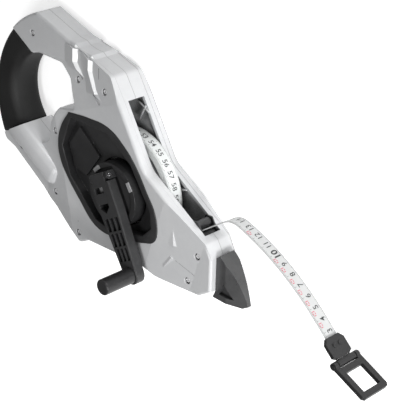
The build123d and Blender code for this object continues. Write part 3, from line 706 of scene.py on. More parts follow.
def hand_over(piece: bpy.types.Object, body: str, nodes: Sequence[str] = ()) -> None:
    """Tells the frame what a piece is.

    Args:
        piece: Finished mesh object.
        body: Body that carries it.
        nodes: CAD nodes that it stands for.
    """
    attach(piece, body)
    if nodes:
        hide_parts(*nodes)
    LOG.info("%s rides on the %s", piece.name, body)


@dataclass(frozen=True)
class Stretch:
    """One run of a strip's centre line.

    Attributes:
        length: Length in millimetres.
        bend: Turning per millimetre in radians, left positive.
    """

    length: float
    bend: float = 0.0


@dataclass(frozen=True)
class Route:
    """Centre line of a strip in the plane of the casing, in millimetres.

    Attributes:
        start: First point.
        heading: First direction in radians.
        stretches: Runs from first to last.
    """

    start: Vector
    heading: float
    stretches: Sequence[Stretch]

    @property
    def length(self) -> float:
        """Whole length of the line."""
        return sum(run.length for run in self.stretches)

    def at(self, distance: float) -> Tuple[Vector, float]:
        """Finds a point of the line.

        Args:
            distance: Distance from the start.

        Returns:
            The point and the direction there in radians.
        """
        spot, heading, left = self.start.copy(), self.heading, max(0.0, distance)
        for run in self.stretches:
            step = min(left, run.length)
            if run.bend:
                turned = heading + run.bend * step
                across = (math.sin(turned) - math.sin(heading), math.cos(heading) - math.cos(turned))
                spot, heading = spot + Vector(across) / run.bend, turned
            else:
                spot = spot + Vector((math.cos(heading), math.sin(heading))) * step
            left -= step
            if left <= 0:
                break
        return spot, heading

    def stations(self, step: float) -> List[float]:
        """Even distances from the start to the end, about a step apart."""
        count = max(2, round(self.length / step))
        return [self.length * place / count for place in range(count + 1)]


@dataclass(frozen=True)
class Strip:
    """A tape of even width and thickness along a route.

    Attributes:
        route: Centre line.
        width: Width in millimetres.
        thick: Thickness in millimetres.
        height: Height of the middle of the width above the resting face.
        softness: Share of half the thickness that the softened long edges take.
        smooth: Largest angle in degrees across which it is shaded smooth.
    """

    route: Route
    width: float
    thick: float
    height: float
    softness: float = 0.6
    smooth: float = 30.0

    def place(self, distance: float, across: float, above: float) -> Vector:
        """Finds a point on or beside the strip.

        Args:
            distance: Distance along the route.
            across: Offset along the reel's axis from the middle of the width.
            above: Offset to the left of the route from the middle of the thickness.

        Returns:
            The point in metres.
        """
        spot, heading = self.route.at(distance)
        spot = spot + Vector((-math.sin(heading), math.cos(heading))) * above
        return Vector((spot.x, spot.y, self.height + across)) * MM

    def build(self, name: str, step: float) -> bpy.types.Object:
        """Wraps a grid round the strip, as a closed ribbon with softened long edges.

        Args:
            name: Name of the object.
            step: Spacing of its cross sections.

        Returns:
            The new object.
        """
        half, thin = self.width / 2, self.thick / 2
        soft = thin * self.softness
        section = (
            (-half + soft, -thin), (half - soft, -thin), (half, -thin + soft), (half, thin - soft),
            (half - soft, thin), (-half + soft, thin), (-half, thin - soft), (-half, -thin + soft),
        )
        stations = self.route.stations(step)
        made = bmesh.new()
        sheet = bmesh.ops.create_grid(made, x_segments=len(section), y_segments=len(stations) - 1, size=1.0)
        wrapped = section + section[:1]
        places = (self.place(distance, *corner) for distance in stations for corner in wrapped)
        for vertex, place in zip(sheet["verts"], places):
            vertex.co = place
        bmesh.ops.remove_doubles(made, verts=made.verts, dist=MERGE)
        bmesh.ops.holes_fill(made, edges=[edge for edge in made.edges if edge.is_boundary])
        bmesh.ops.recalc_face_normals(made, faces=made.faces)
        shade(made, self.smooth)
        return new_object(made, name)


class Figures:
    """Printed figures as flat outlines, one set for each text."""

    ROUND_STEPS = 3

    def __init__(self) -> None:
        """Starts with no figures."""
        self.known: Dict[Tuple[str, float], Outline] = {}

    def outline(self, text: str, weight: float) -> Outline:
        """Gives a text of height 1 about its own middle.

        Args:
            text: Digits to draw.
            weight: How much the strokes are thickened.

        Returns:
            Points and the faces between them.
        """
        key = (text, weight)
        if key not in self.known:
            self.known[key] = self._draw(text, weight)
        return self.known[key]

    def _draw(self, text: str, weight: float) -> Outline:
        """Draws a text and takes its faces.

        Args:
            text: Digits to draw.
            weight: How much the strokes are thickened.

        Returns:
            Points and the faces between them.
        """
        curve = bpy.data.curves.new("figure", "FONT")
        curve.body = text
        curve.align_x = "CENTER"
        curve.align_y = "CENTER"
        curve.offset = weight
        curve.resolution_u = self.ROUND_STEPS
        mesh = mesh_of(curve)
        points = [vertex.co.copy() for vertex in mesh.vertices]
        faces = [tuple(face.vertices) for face in mesh.polygons]
        bpy.data.meshes.remove(mesh)
        low, high = min(point.y for point in points), max(point.y for point in points)
        tall, middle = high - low, (high + low) / 2
        return [Vector((point.x / tall, (point.y - middle) / tall)) for point in points], faces


@dataclass(frozen=True)
class Scale:
    """Printed centimetre scale on one face of a strip, in millimetres.

    Attributes:
        strip: Strip that carries the print.
        face: Face that is printed.
        zero: Distance along the route of the scale's zero.
        growth: Way that the numbers grow.
        first: First distance that is printed.
        last: Last distance that is printed.
        figure_row: Distance of the numbers' row from the middle, away from the crank.
        lift: Height of the print above the face.
        short: Length of a millimetre line.
        middle: Length of a five millimetre line.
        long: Length of a centimetre line.
        far_share: Share of those lengths along the edge away from the crank.
        line: Width of a line.
        margin: Bare strip at the edges.
        figure: Height of a number.
        tall_figure: Height of a tall number.
        weight: Thickening of a number's strokes.
        tall_weight: Thickening of a tall number's strokes.
        tall_every: Step from one tall number to the next.
        room: Least distance of a number from the print's ends, in centimetres.
        mark_row: Distance of the red marks' row from the middle, towards the crank.
        mark_bars: Bars of a red mark: offset along, width, and lower and upper end across.
    """

    strip: Strip
    face: Face
    zero: float
    growth: Growth
    first: float
    last: float
    figure_row: float = 0.0
    lift: float = 0.025
    short: float = 1.5
    middle: float = 2.3
    long: float = 3.2
    far_share: float = 0.6
    line: float = 0.24
    margin: float = 0.35
    figure: float = 5.0
    tall_figure: float = 6.4
    weight: float = 0.010
    tall_weight: float = 0.03
    tall_every: int = 10
    room: float = 0.3
    mark_row: float = 3.1
    mark_bars: Sequence[Tuple[float, float, float, float]] = (
        (-1.7, 0.7, -1.5, 1.5), (0.0, 1.5, -1.5, -0.7), (0.0, 1.5, 0.7, 1.5), (1.7, 0.7, -1.1, 1.1),
    )

    def _spot(self, distance: float, across: float) -> Vector:
        """Printed point in metres, at a distance along the route and an offset across it."""
        return self.strip.place(distance, across, self.face.value * (self.strip.thick / 2 + self.lift))

    def _at(self, mark: float) -> float:
        """Distance along the route of a place on the scale."""
        return self.zero + self.growth.value * mark

    def _span(self) -> Pair:
        """First and last place on the scale that is printed, the smaller one first."""
        ends = [self.growth.value * (distance - self.zero) for distance in (self.first, self.last)]
        return min(ends), max(ends)

    def _bar(self, made: bmesh.types.BMesh, middle: float, width: float, low: float, high: float) -> None:
        """Prints a bar across the strip.

        Args:
            made: Mesh that gets the bar.
            middle: Distance of its middle.
            width: Its size along the strip.
            low: Its lower end across the strip.
            high: Its upper end across the strip.
        """
        near, far = middle - width / 2, middle + width / 2
        corners = ((near, low), (far, low), (far, high), (near, high))
        made.faces.new([made.verts.new(self._spot(*corner)) for corner in corners[::-self.face.value]])

    def _reach(self, mark: int) -> float:
        """Finds how long a line is.

        Args:
            mark: Its place in millimetres of the scale.

        Returns:
            The length, greatest at a centimetre and next at half of one.
        """
        if mark % CENTIMETRE == 0:
            return self.long
        if mark % (CENTIMETRE // 2) == 0:
            return self.middle
        return self.short

    def ticks(self, made: bmesh.types.BMesh) -> None:
        """Prints the millimetre lines along both edges.

        Args:
            made: Mesh that gets the lines.
        """
        half = self.strip.width / 2 - self.margin
        low, high = self._span()
        for mark in range(math.ceil(low), math.floor(high) + 1):
            reach = self._reach(mark)
            self._bar(made, self._at(mark), self.line, half - reach, half)
            self._bar(made, self._at(mark), self.line, -half, -half + reach * self.far_share)

    def figures(self, made: bmesh.types.BMesh, book: Figures) -> None:
        """Prints the centimetre numbers, their tops towards the crank or away from it.

        Args:
            made: Mesh that gets the numbers.
            book: Source of the outlines.
        """
        low, high = self._span()
        last = math.floor(high / CENTIMETRE - self.room) + 1
        along = self.growth.value
        upward = -self.face.value * along
        for number in range(math.ceil(low / CENTIMETRE + self.room), last):
            tall = number % self.tall_every == 0
            size = self.tall_figure if tall else self.figure
            points, faces = book.outline(str(number), self.tall_weight if tall else self.weight)
            spot = self._at(number * CENTIMETRE)
            placed = []
            for point in points:
                across = upward * point.y * size - self.figure_row
                placed.append(made.verts.new(self._spot(spot + along * point.x * size, across)))
            for face in faces:
                made.faces.new([placed[index] for index in face])

    def red_marks(self, made: bmesh.types.BMesh, centres: Iterable[float]) -> None:
        """Prints short red bars between the numbers.

        Args:
            made: Mesh that gets the bars.
            centres: Their places in centimetres of the scale.
        """
        for centre in centres:
            for offset, width, low, high in self.mark_bars:
                middle = self._at(centre * CENTIMETRE) + offset
                self._bar(made, middle, width, self.mark_row + low, self.mark_row + high)


@dataclass
class Tape:
    """The measuring tape: what is wound on the reel and what hangs free, in millimetres.

    Attributes:
        painter: Source of materials.
        width: Width of the tape.
        thick: Thickness of the tape.
        height: Height of the middle of its width above the resting face.
        pack_radius: Radius of the wound tape.
        turn_gap: Gap between two turns.
        drum_radius: Radius of the drum.
        run_clearance: Distance from the wound tape to the middle of the straight run's thickness.
        lead: Length skipped at the start of the straight run, and left bare at the start of a print.
        exit_angle: Direction of the straight run in radians.
        crest_start: X of the point where the crest begins.
        crest_radius: Radius of the crest.
        crest_turn: Turning of the crest in radians.
        fall_radius: Radius of the long fall.
        fall_turn: Turning of the long fall in radians.
        end_run: Straight end that the clip holds.
        free_step: Spacing of the free tape's cross sections.
        wound_step: Spacing of the wound tape's cross sections.
        zero_beyond_end: Distance of the scale's zero past the tape's end.
        clip_cover: Length of tape that the clip hides.
        wound_number: A number on the outer turn.
        wound_number_place: Distance of that number along the outer turn.
        turn_inset: Depth below the pack's radius at which the printed turn is measured.
        turn_bare: Bare length at the printed turn's end.
        figure_row: Distance of the upper face's numbers from the middle.
        red_places: Places of red marks in centimetres of the scale.
        book: Source of figure outlines.
    """

    painter: Painter
    width: float = 13.0
    thick: float = 0.6
    height: float = 19.0
    pack_radius: float = 52.6
    turn_gap: float = 0.5
    drum_radius: float = 20.0
    run_clearance: float = 0.6
    lead: float = 2.0
    exit_angle: float = math.radians(32.0)
    crest_start: float = 110.0
    crest_radius: float = 17.0
    crest_turn: float = math.radians(52.0)
    fall_radius: float = 215.0
    fall_turn: float = math.radians(25.0)
    end_run: float = 28.0
    free_step: float = 1.2
    wound_step: float = 3.0
    zero_beyond_end: float = 13.8
    clip_cover: float = 12.5
    wound_number: float = 56.0
    wound_number_place: float = 237.8
    turn_inset: float = 1.0
    turn_bare: float = 8.0
    figure_row: float = 1.5
    red_places: Sequence[float] = (3.6, 4.6, 5.5, 6.5, 7.5, 8.6, 9.5, 12.6)
    book: Figures = field(default_factory=Figures)

    def build(self) -> None:
        """Builds both strips with their print."""
        free, wound = self._free_strip(), self._wound_strip()
        self._ribbon("free_tape", free, FREE_TAPE, self.free_step, "tape", "tape_blade")
        self._ribbon("wound_tape", wound, TAPE, self.wound_step, "reel",
                     "wound_tape_core", "wound_tape_outer_turn")
        length = free.route.length
        zero, last = length + self.zero_beyond_end, length - self.clip_cover
        upper = Scale(free, Face.LEFT, zero, Growth.AGAINST, self.lead, last, self.figure_row)
        self._print(upper, "free_scale_top", "tape", self.red_places)
        under = Scale(free, Face.RIGHT, zero, Growth.AGAINST, self.lead, last)
        self._print(under, "free_scale_under", "tape")
        zero = self.wound_number_place - self.wound_number * CENTIMETRE
        last = 2 * math.pi * (self.pack_radius - self.turn_inset) - self.turn_bare
        turn = Scale(wound, Face.LEFT, zero, Growth.ALONG, self.lead, last)
        self._print(turn, "wound_scale", "reel")

    def _way_out(self) -> Tuple[Vector, Vector]:
        """Directions of the straight run, and from the reel's axis square to it."""
        along = Vector((math.cos(self.exit_angle), math.sin(self.exit_angle)))
        return along, Vector((along.y, -along.x))

    def _free_strip(self) -> Strip:
        """Lays out the free tape from the reel to the end clip.

        Returns:
            The strip along the CAD tape's own line.
        """
        along, square = self._way_out()
        foot = square * (self.pack_radius + self.run_clearance)
        crest = (self.crest_start - foot.x) / along.x
        route = Route(foot + along * self.lead, self.exit_angle, (
            Stretch(crest - self.lead),
            Stretch(self.crest_radius * self.crest_turn, -1 / self.crest_radius),
            Stretch(self.fall_radius * self.fall_turn, -1 / self.fall_radius),
            Stretch(self.end_run),
        ))
        return Strip(route, self.width, self.thick, self.height)

    def _wound_strip(self) -> Strip:
        """Lays out the wound tape from its outer end inwards, quarter turn by quarter turn.

        Returns:
            The strip along the CAD outer turn and on to the drum.
        """
        pitch = self.thick + self.turn_gap
        inner = self.pack_radius - self.thick / 2 - pitch
        quarter = math.pi / 2
        square = self._way_out()[1]
        outer_turn = [inner + pitch * (index + 0.5) / 4 for index in range(4)]
        forward = Route(square * inner, self.exit_angle,
                        [Stretch(radius * quarter, 1 / radius) for radius in outer_turn])
        end, heading = forward.at(forward.length)
        radius = outer_turn[-1]
        turns = []
        while radius > self.drum_radius + self.thick:
            turns.append(Stretch(radius * quarter, -1 / radius))
            radius -= pitch / 4
        return Strip(Route(end, heading + math.pi, turns), self.width, self.thick, self.height)

    def _ribbon(self, name: str, strip: Strip, finish: Finish, step: float, body: str, *nodes: str) -> None:
        """Makes a strip a piece.

        Args:
            name: Piece name.
            strip: Strip to build.
            finish: Its finish.
            step: Spacing of its cross sections.
            body: Body that carries it.
            *nodes: CAD nodes that it stands for.
        """
        piece = strip.build(name, step)
        self.painter.paint(piece, finish)
        hand_over(piece, body, nodes)

    def _print(self, scale: Scale, name: str, body: str, red_places: Sequence[float] = ()) -> None:
        """Makes the print of one face.

        Args:
            scale: Scale to print.
            name: Piece name.
            body: Body that carries it.
            red_places: Places of red marks in centimetres of the scale.
        """
        made = bmesh.new()
        scale.ticks(made)
        scale.figures(made, self.book)
        self._ink(made, name, INK, body)
        if red_places:
            made = bmesh.new()
            scale.red_marks(made, red_places)
            self._ink(made, f"{name}_red", RED_INK, body)

    def _ink(self, made: bmesh.types.BMesh, name: str, finish: Finish, body: str) -> None:
        """Makes the print of one colour a piece.

        Args:
            made: Finished mesh.
            name: Piece name.
            finish: Its ink.
            body: Body that carries it.
        """
        piece = new_object(made, name)
        self.painter.paint(piece, finish)
        hand_over(piece, body)


@dataclass
class CasingTrim:
    """A fine shape that rides on the casing, in millimetres.

    Attributes:
        painter: Source of materials.
        middle: Height of the parting plane above the resting face.
        half_arm: Half thickness of the arms.
        half_hub: Half thickness of the thick middle.
        slopes: Direction in degrees, start and run of each slope from the middle to an arm.
        smooth: Largest angle in degrees across which the shape is shaded smooth.
    """

    painter: Painter
    middle: float = 19.0
    half_arm: float = 14.0
    half_hub: float = 19.0
    slopes: Sequence[Point] = ((110.0, 72.0, 42.0), (-20.0, 50.0, 46.0), (190.0, 66.0, 32.0))
    smooth: float = 30.0

    def side_height(self, x: float, y: float) -> float:
        """Height of the casing's side above the parting plane.

        Args:
            x: Place along the tape's way out.
            y: Place towards the handle's top.

        Returns:
            The height.
        """
        fall = 0.0
        for angle, start, run in self.slopes:
            reach = x * math.cos(math.radians(angle)) + y * math.sin(math.radians(angle))
            fall = max(fall, (reach - start) * (self.half_hub - self.half_arm) / run)
        return max(self.half_arm, self.half_hub - fall)

    def level(self, spot: Vector, lift: float, side: Side) -> float:
        """Height of a place on a side, lifted out of it, but never below the resting face."""
        return max(0.0, self.middle + side.value * (self.side_height(*spot) + lift))

    def piece(self, made: bmesh.types.BMesh, name: str, finish: Finish, slot: str, *nodes: str,
              turn: bool = True) -> bpy.types.Object:
        """Makes a mesh a piece of the casing.

        Args:
            made: Finished mesh.
            name: Piece name.
            finish: Its finish.
            slot: Its material slot; not used.
            *nodes: CAD nodes that it stands for.
            turn: Whether the faces are turned outwards first.

        Returns:
            The new object.
        """
        if turn:
            bmesh.ops.recalc_face_normals(made, faces=made.faces)
        shade(made, self.smooth)
        piece = new_object(made, name)
        self.painter.paint(piece, finish)
        hand_over(piece, "casing", nodes)
        return piece

    @staticmethod
    def settle(piece: bpy.types.Object) -> None:
        """Applies a piece's modifiers.

        Args:
            piece: Mesh object.
        """
        bpy.context.view_layer.update()
        seen = piece.evaluated_get(bpy.context.evaluated_depsgraph_get())
        rough = piece.data
        name = rough.name
        mesh = bpy.data.meshes.new_from_object(seen)
        piece.modifiers.clear()
        piece.data = mesh
        bpy.data.meshes.remove(rough)
        mesh.name = name


@dataclass(frozen=True)
class Ridge:
    """A bevelled step across a side of the casing, in millimetres.

    Attributes:
        crest: Upper edge of the bevel.
        foot: Lower edge of the bevel, point by point.
        rises: Height of the crest above the side at each point.
        back: Reach of the slow slope behind the crest.
    """

    crest: Sequence[Pair]
    foot: Sequence[Pair]
    rises: Sequence[float]
    back: float


@dataclass(frozen=True)
class TopBar:
    """A step over the handle's top face, in millimetres.

    Attributes:
        rear: Start of the slow slope.
        crest: Upper edge of the step.
        foot: Lower edge of the step.
        out: Direction out of the top face.
    """

    rear: Pair
    crest: Pair
    foot: Pair
    out: Pair


@dataclass
class PlateSteps(CasingTrim):
    """Bevelled steps of the side plates and of the handle's top, in millimetres.

    Attributes:
        ridges: Steps across the sides.
        top_bars: Steps over the handle's top.
        bar_rise: Height of a top step's crest.
        bar_stations: Places across the handle, and how far the top has rounded off there.
        sink: Depth of a step's ends in the casing.
        root: Depth of a step's hidden edge in the casing.
        upright: Least share along the reel's axis of the normal of a bevel that gets the painted highlight.
        facing: Least share along X of the normal of a bevel that gets the painted highlight.
    """

    ridges: Sequence[Ridge] = (
        Ridge(((-51.4, 111.4), (-52.0, 100.3), (-47.4, 94.6), (-38.7, 89.3)),
              ((-47.6, 110.8), (-47.9, 99.9), (-43.0, 94.9), (-38.3, 89.2)), (2.2, 2.2, 1.7, 0.0), 14.0),
        Ridge(((-32.1, 106.2), (-32.0, 97.7), (-25.2, 84.3), (-22.4, 79.8), (-13.0, 73.4)),
              ((-28.3, 105.0), (-28.0, 96.4), (-22.0, 83.2), (-19.3, 80.2), (-12.5, 73.2)),
              (2.2, 2.2, 1.8, 1.5, 0.0), 14.0),
        Ridge(((65.2, -10.4), (65.8, -25.4)), ((65.8, -10.6), (69.0, -25.6)), (0.0, 1.0), 8.0),
        Ridge(((53.0, -49.2), (63.2, -36.7)), ((53.6, -49.4), (66.0, -38.6)), (0.0, 1.0), 3.0),
    )
    top_bars: Sequence[TopBar] = (
        TopBar((-61.4, 116.2), (-51.8, 112.7), (-46.9, 111.4), (0.26, 0.966)),
        TopBar((-40.8, 109.8), (-32.2, 107.4), (-27.6, 105.75), (0.33, 0.944)),
    )
    bar_rise: float = 1.5
    bar_stations: Sequence[Pair] = (
        (-13.8, 2.0), (-13.2, 0.95), (-12.4, 0.3), (-11.4, 0.0),
        (11.4, 0.0), (12.4, 0.3), (13.2, 0.95), (13.8, 2.0),
    )
    sink: float = 0.25
    root: float = 1.0
    upright: float = 0.3
    facing: float = 0.22
    smooth: float = 12.0

    def build(self) -> None:
        """Builds every step and paints a highlight on the front-facing bevels of the handle's steps."""
        made = bmesh.new()
        for ridge in self.ridges:
            for side in Side:
                loft(made, self._ridge_rows(ridge, side))
        for bar in self.top_bars:
            loft(made, self._bar_rows(bar))
        steps = self.piece(made, "plate_steps", SILVER, "casing_silver")
        # Painted highlight: handle-side bevels facing +X, towards the front light, get the light bevel
        # finish.
        steps.data.materials.append(self.painter.material(BEVEL_HIGHLIGHT))
        for face in steps.data.polygons:
            bevel = abs(face.normal.z) > self.upright and face.normal.x > self.facing
            if face.center.x < 0 and bevel:
                face.material_index = 1

    def _section(self, rear: Vector, crest: Vector, foot: Vector, rise: float) -> List[Tuple[Vector, float]]:
        """Places of a step's four corners, and how far each stands out of the surface."""
        return [(rear, -self.sink), (crest, rise), (foot, -self.sink), (crest, -self.root)]

    def _ridge_rows(self, ridge: Ridge, side: Side) -> List[List[Vector]]:
        """Cross sections of a ridge.

        Args:
            ridge: The ridge.
            side: Side of the casing.

        Returns:
            Rows of four points in metres.
        """
        rows = []
        for crest, foot, rise in zip(map(Vector, ridge.crest), map(Vector, ridge.foot), ridge.rises):
            rear = crest - (foot - crest).normalized() * ridge.back
            section = self._section(rear, crest, foot, rise)
            rows.append([Vector((*spot, self.level(spot, lift, side))) * MM for spot, lift in section])
        return rows

    def _bar_rows(self, bar: TopBar) -> List[List[Vector]]:
        """Cross sections of a step over the handle's top face.

        Args:
            bar: The step.

        Returns:
            Rows of four points in metres.
        """
        rear, crest, foot, out = map(Vector, (bar.rear, bar.crest, bar.foot, bar.out))
        section = self._section(rear, crest, foot, self.bar_rise)
        rows = []
        for across, drop in self.bar_stations:
            spots = [spot + out * (lift - drop) for spot, lift in section]
            rows.append([Vector((*spot, self.middle + across)) * MM for spot in spots])
        return rows


@dataclass(frozen=True)
class PlateLine:
    """A fine straight line in a side plate, in millimetres.

    Attributes:
        start: First end.
        end: Other end.
        width: Width of the line.
    """

    start: Pair
    end: Pair
    width: float


@dataclass
class PlateLines(CasingTrim):
    """Fine lines of the side plates, thin strips painted dark as the shadow in the grooves, in millimetres.

    Attributes:
        lines: Every line, drawn on both sides.
        depth: Depth of a line in the side.
        proud: Height of a line above the side.
    """

    lines: Sequence[PlateLine] = (
        PlateLine((-40.7, 108.6), (-41.2, 99.7), 0.5),
        PlateLine((-20.6, 101.4), (-20.1, 92.5), 0.5),
        PlateLine((-62.0, -46.4), (-49.5, -41.2), 0.5),
        PlateLine((66.5, -38.4), (86.0, -46.0), 0.22),
    )
    depth: float = 0.4
    proud: float = 0.04

    def build(self) -> None:
        """Builds every line on both sides."""
        made = bmesh.new()
        for line in self.lines:
            for side in Side:
                loft(made, self._rows(line, side))
        self.piece(made, "plate_lines", PAINTED_GROOVE_SHADOW, "casing_silver")

    def _rows(self, line: PlateLine, side: Side) -> List[List[Vector]]:
        """Cross sections of a line.

        Args:
            line: The line.
            side: Side of the casing.

        Returns:
            Two rows of four points in metres.
        """
        start, end = Vector(line.start), Vector(line.end)
        across = (end - start).normalized().orthogonal() * line.width / 2
        corners = ((-across, -self.depth), (-across, self.proud), (across, self.proud), (across, -self.depth))
        rows = []
        for spot in (start, end):
            rows.append([Vector((*(spot + offset), self.level(spot, lift, side))) * MM
                         for offset, lift in corners])
        return rows


@dataclass
class LowerArmSwell(CasingTrim):
    """The full round arm below the grip, in millimetres.

    Attributes:
        start: Middle of the upper end.
        end: Middle of the lower end.
        half_width: Half of the width.
        top: Height above the parting plane.
        under: Depth below the parting plane.
        end_round: Length of the rounding at both ends.
        fullness: Power that fills the flanks out, 1 for an ellipse.
        grip_edge: Point of the plane where the grip ends.
        grip_way: Direction from that plane into the grip.
        pole: Ring radius under which a point counts as a pole.
        round_steps: Steps round the arm.
        end_steps: Steps from end to end.
    """

    start: Pair = (-134.0, 22.0)
    end: Pair = (-86.0, -8.6)
    half_width: float = 13.0
    top: float = 20.6
    under: float = 18.4
    end_round: float = 11.0
    fullness: float = 0.6
    grip_edge: Pair = (-112.0, 32.6)
    grip_way: Pair = (-0.464, 0.886)
    pole: float = 1e-6
    round_steps: int = 48
    end_steps: int = 32
    smooth: float = 50.0

    def build(self) -> None:
        """Stretches a ball along the arm and cuts it off at the grip's end."""
        start, end = Vector(self.start), Vector(self.end)
        along = (end - start).normalized()
        across = Vector((-along.y, along.x))
        made = bmesh.new()
        bmesh.ops.create_uvsphere(made, u_segments=self.round_steps, v_segments=self.end_steps, radius=1.0)
        for point in made.verts:
            ring = math.hypot(point.co.x, point.co.y)
            wide, tall = self._fill(point.co.x, ring), self._fill(point.co.y, ring)
            foot = end if point.co.z > 0 else start
            spot = foot + along * point.co.z * self.end_round + across * wide * self.half_width
            reach = self.top if tall > 0 else self.under
            point.co = Vector((*spot, self.middle + tall * reach)) * MM
        everything = made.verts[:] + made.edges[:] + made.faces[:]
        cut = bmesh.ops.bisect_plane(made, geom=everything, plane_co=Vector((*self.grip_edge, 0.0)) * MM,
                                     plane_no=(*self.grip_way, 0.0), clear_outer=True)
        rim = [item for item in cut["geom_cut"] if isinstance(item, bmesh.types.BMEdge)]
        bmesh.ops.holes_fill(made, edges=rim)
        self.piece(made, "lower_arm_swell", SILVER, "casing_silver")

    def _fill(self, reach: float, ring: float) -> float:
        """Fills a ring of the ball out towards a rounded square.

        Args:
            reach: Reach of a point along one axis.
            ring: Radius of the point's ring.

        Returns:
            The fuller reach.
        """
        if ring <= self.pole:
            return 0.0
        return math.copysign(abs(reach / ring) ** self.fullness, reach) * ring


@dataclass
class SlotRibs(CasingTrim):
    """Stiffening ribs on the slot's far wall, in millimetres.

    Attributes:
        ribs: Both ends of each rib.
        wall: Place of the wall from the parting plane.
        width: Width of a rib.
        proud: Height of a rib above the wall.
        softness: Bevel of a rib's edges.
        soft_steps: Steps of that bevel.
    """

    ribs: Sequence[Tuple[Pair, Pair]] = (
        ((-1.0, 73.6), (12.4, 66.4)), ((8.6, 71.4), (0.5, 58.0)), ((47.0, 10.0), (55.0, 11.5)),
    )
    wall: float = -8.5
    width: float = 1.3
    proud: float = 1.0
    softness: float = 0.2
    soft_steps: int = 2

    def build(self) -> None:
        """Builds every rib as a bar with softened edges."""
        made = bmesh.new()
        for first, last in self.ribs:
            run, middle = Vector(last) - Vector(first), (Vector(first) + Vector(last)) / 2
            bar = bmesh.ops.create_cube(made, size=1.0)["verts"]
            size = Vector((run.length, self.width, 2 * self.proud))
            bmesh.ops.scale(made, verts=bar, vec=size * MM)
            bmesh.ops.rotate(made, verts=bar, matrix=Matrix.Rotation(math.atan2(run.y, run.x), 3, "Z"))
            bmesh.ops.translate(made, verts=bar, vec=Vector((*middle, self.middle + self.wall)) * MM)
        bmesh.ops.bevel(made, geom=made.edges[:], offset=self.softness * MM, offset_type="OFFSET",
                        affect="EDGES", segments=self.soft_steps, profile=0.5, material=-1)
        self.piece(made, "slot_ribs", SILVER, "casing_silver")


@dataclass
class DishRim(CasingTrim):
    """The rounded rim that frames the crank's dish, in millimetres.

    Attributes:
        outer: Points of the smooth outer edge, which has one corner at the first.
        inner: Corners of the inner edge.
        height: Height of the rim's middle above the parting plane.
        half: Half of the rim's straight thickness.
        softness: Radius of the rim's edges.
        soft_steps: Steps of those edges.
        curve_steps: Steps between two points of the outer edge.
    """

    outer: Sequence[Pair] = (
        (-56.0, 55.6), (-30.0, 57.0), (-6.0, 54.8), (12.0, 44.0), (24.5, 31.5), (37.0, 12.5), (46.5, -3.5),
        (48.4, -19.0), (44.5, -28.5), (34.0, -32.8), (12.0, -37.4), (-10.0, -40.6), (-28.0, -36.6),
        (-46.0, -19.5), (-61.0, -2.5), (-69.0, 11.0), (-71.2, 25.0), (-66.5, 41.0),
    )
    inner: Sequence[Pair] = (
        (-54.2, 52.6), (-8.0, 50.8), (19.6, 31.0), (41.6, -3.6), (42.6, -18.0), (32.0, -27.8),
        (-10.0, -35.6), (-26.0, -31.8), (-56.8, -1.4), (-66.4, 23.8),
    )
    height: float = 19.15
    half: float = 0.25
    softness: float = 0.45
    soft_steps: int = 2
    curve_steps: int = 8
    smooth: float = 40.0

    def build(self) -> None:
        """Fills the flat rim between its two edges and makes it a piece."""
        curve = bpy.data.curves.new("dish_rim", "CURVE")
        curve.dimensions = "2D"
        curve.fill_mode = "BOTH"
        curve.extrude = self.half * MM
        curve.bevel_depth = self.softness * MM
        curve.bevel_resolution = self.soft_steps
        curve.resolution_u = self.curve_steps
        self._draw_outer(curve)
        self._draw_inner(curve)
        flat = mesh_of(curve)
        made = bmesh.new()
        made.from_mesh(flat)
        bpy.data.meshes.remove(flat)
        bmesh.ops.remove_doubles(made, verts=made.verts, dist=MERGE)
        bmesh.ops.translate(made, verts=made.verts, vec=(0.0, 0.0, (self.middle + self.height) * MM))
        self.piece(made, "dish_rim", BLACK, "black_plastic")

    def _draw_outer(self, curve: bpy.types.Curve) -> None:
        """Adds the smooth outer edge.

        Args:
            curve: Curve that gets the edge.
        """
        edge = curve.splines.new("BEZIER")
        edge.bezier_points.add(len(self.outer) - 1)
        edge.use_cyclic_u = True
        for index, (knot, spot) in enumerate(zip(edge.bezier_points, self.outer)):
            knot.co = Vector((*spot, 0.0)) * MM
            knot.handle_left_type = knot.handle_right_type = "AUTO" if index else "VECTOR"

    def _draw_inner(self, curve: bpy.types.Curve) -> None:
        """Adds the cornered inner edge.

        Args:
            curve: Curve that gets the edge.
        """
        edge = curve.splines.new("POLY")
        edge.points.add(len(self.inner) - 1)
        edge.use_cyclic_u = True
        for knot, (x, y) in zip(edge.points, self.inner):
            knot.co = (x * MM, y * MM, 0.0, 1.0)


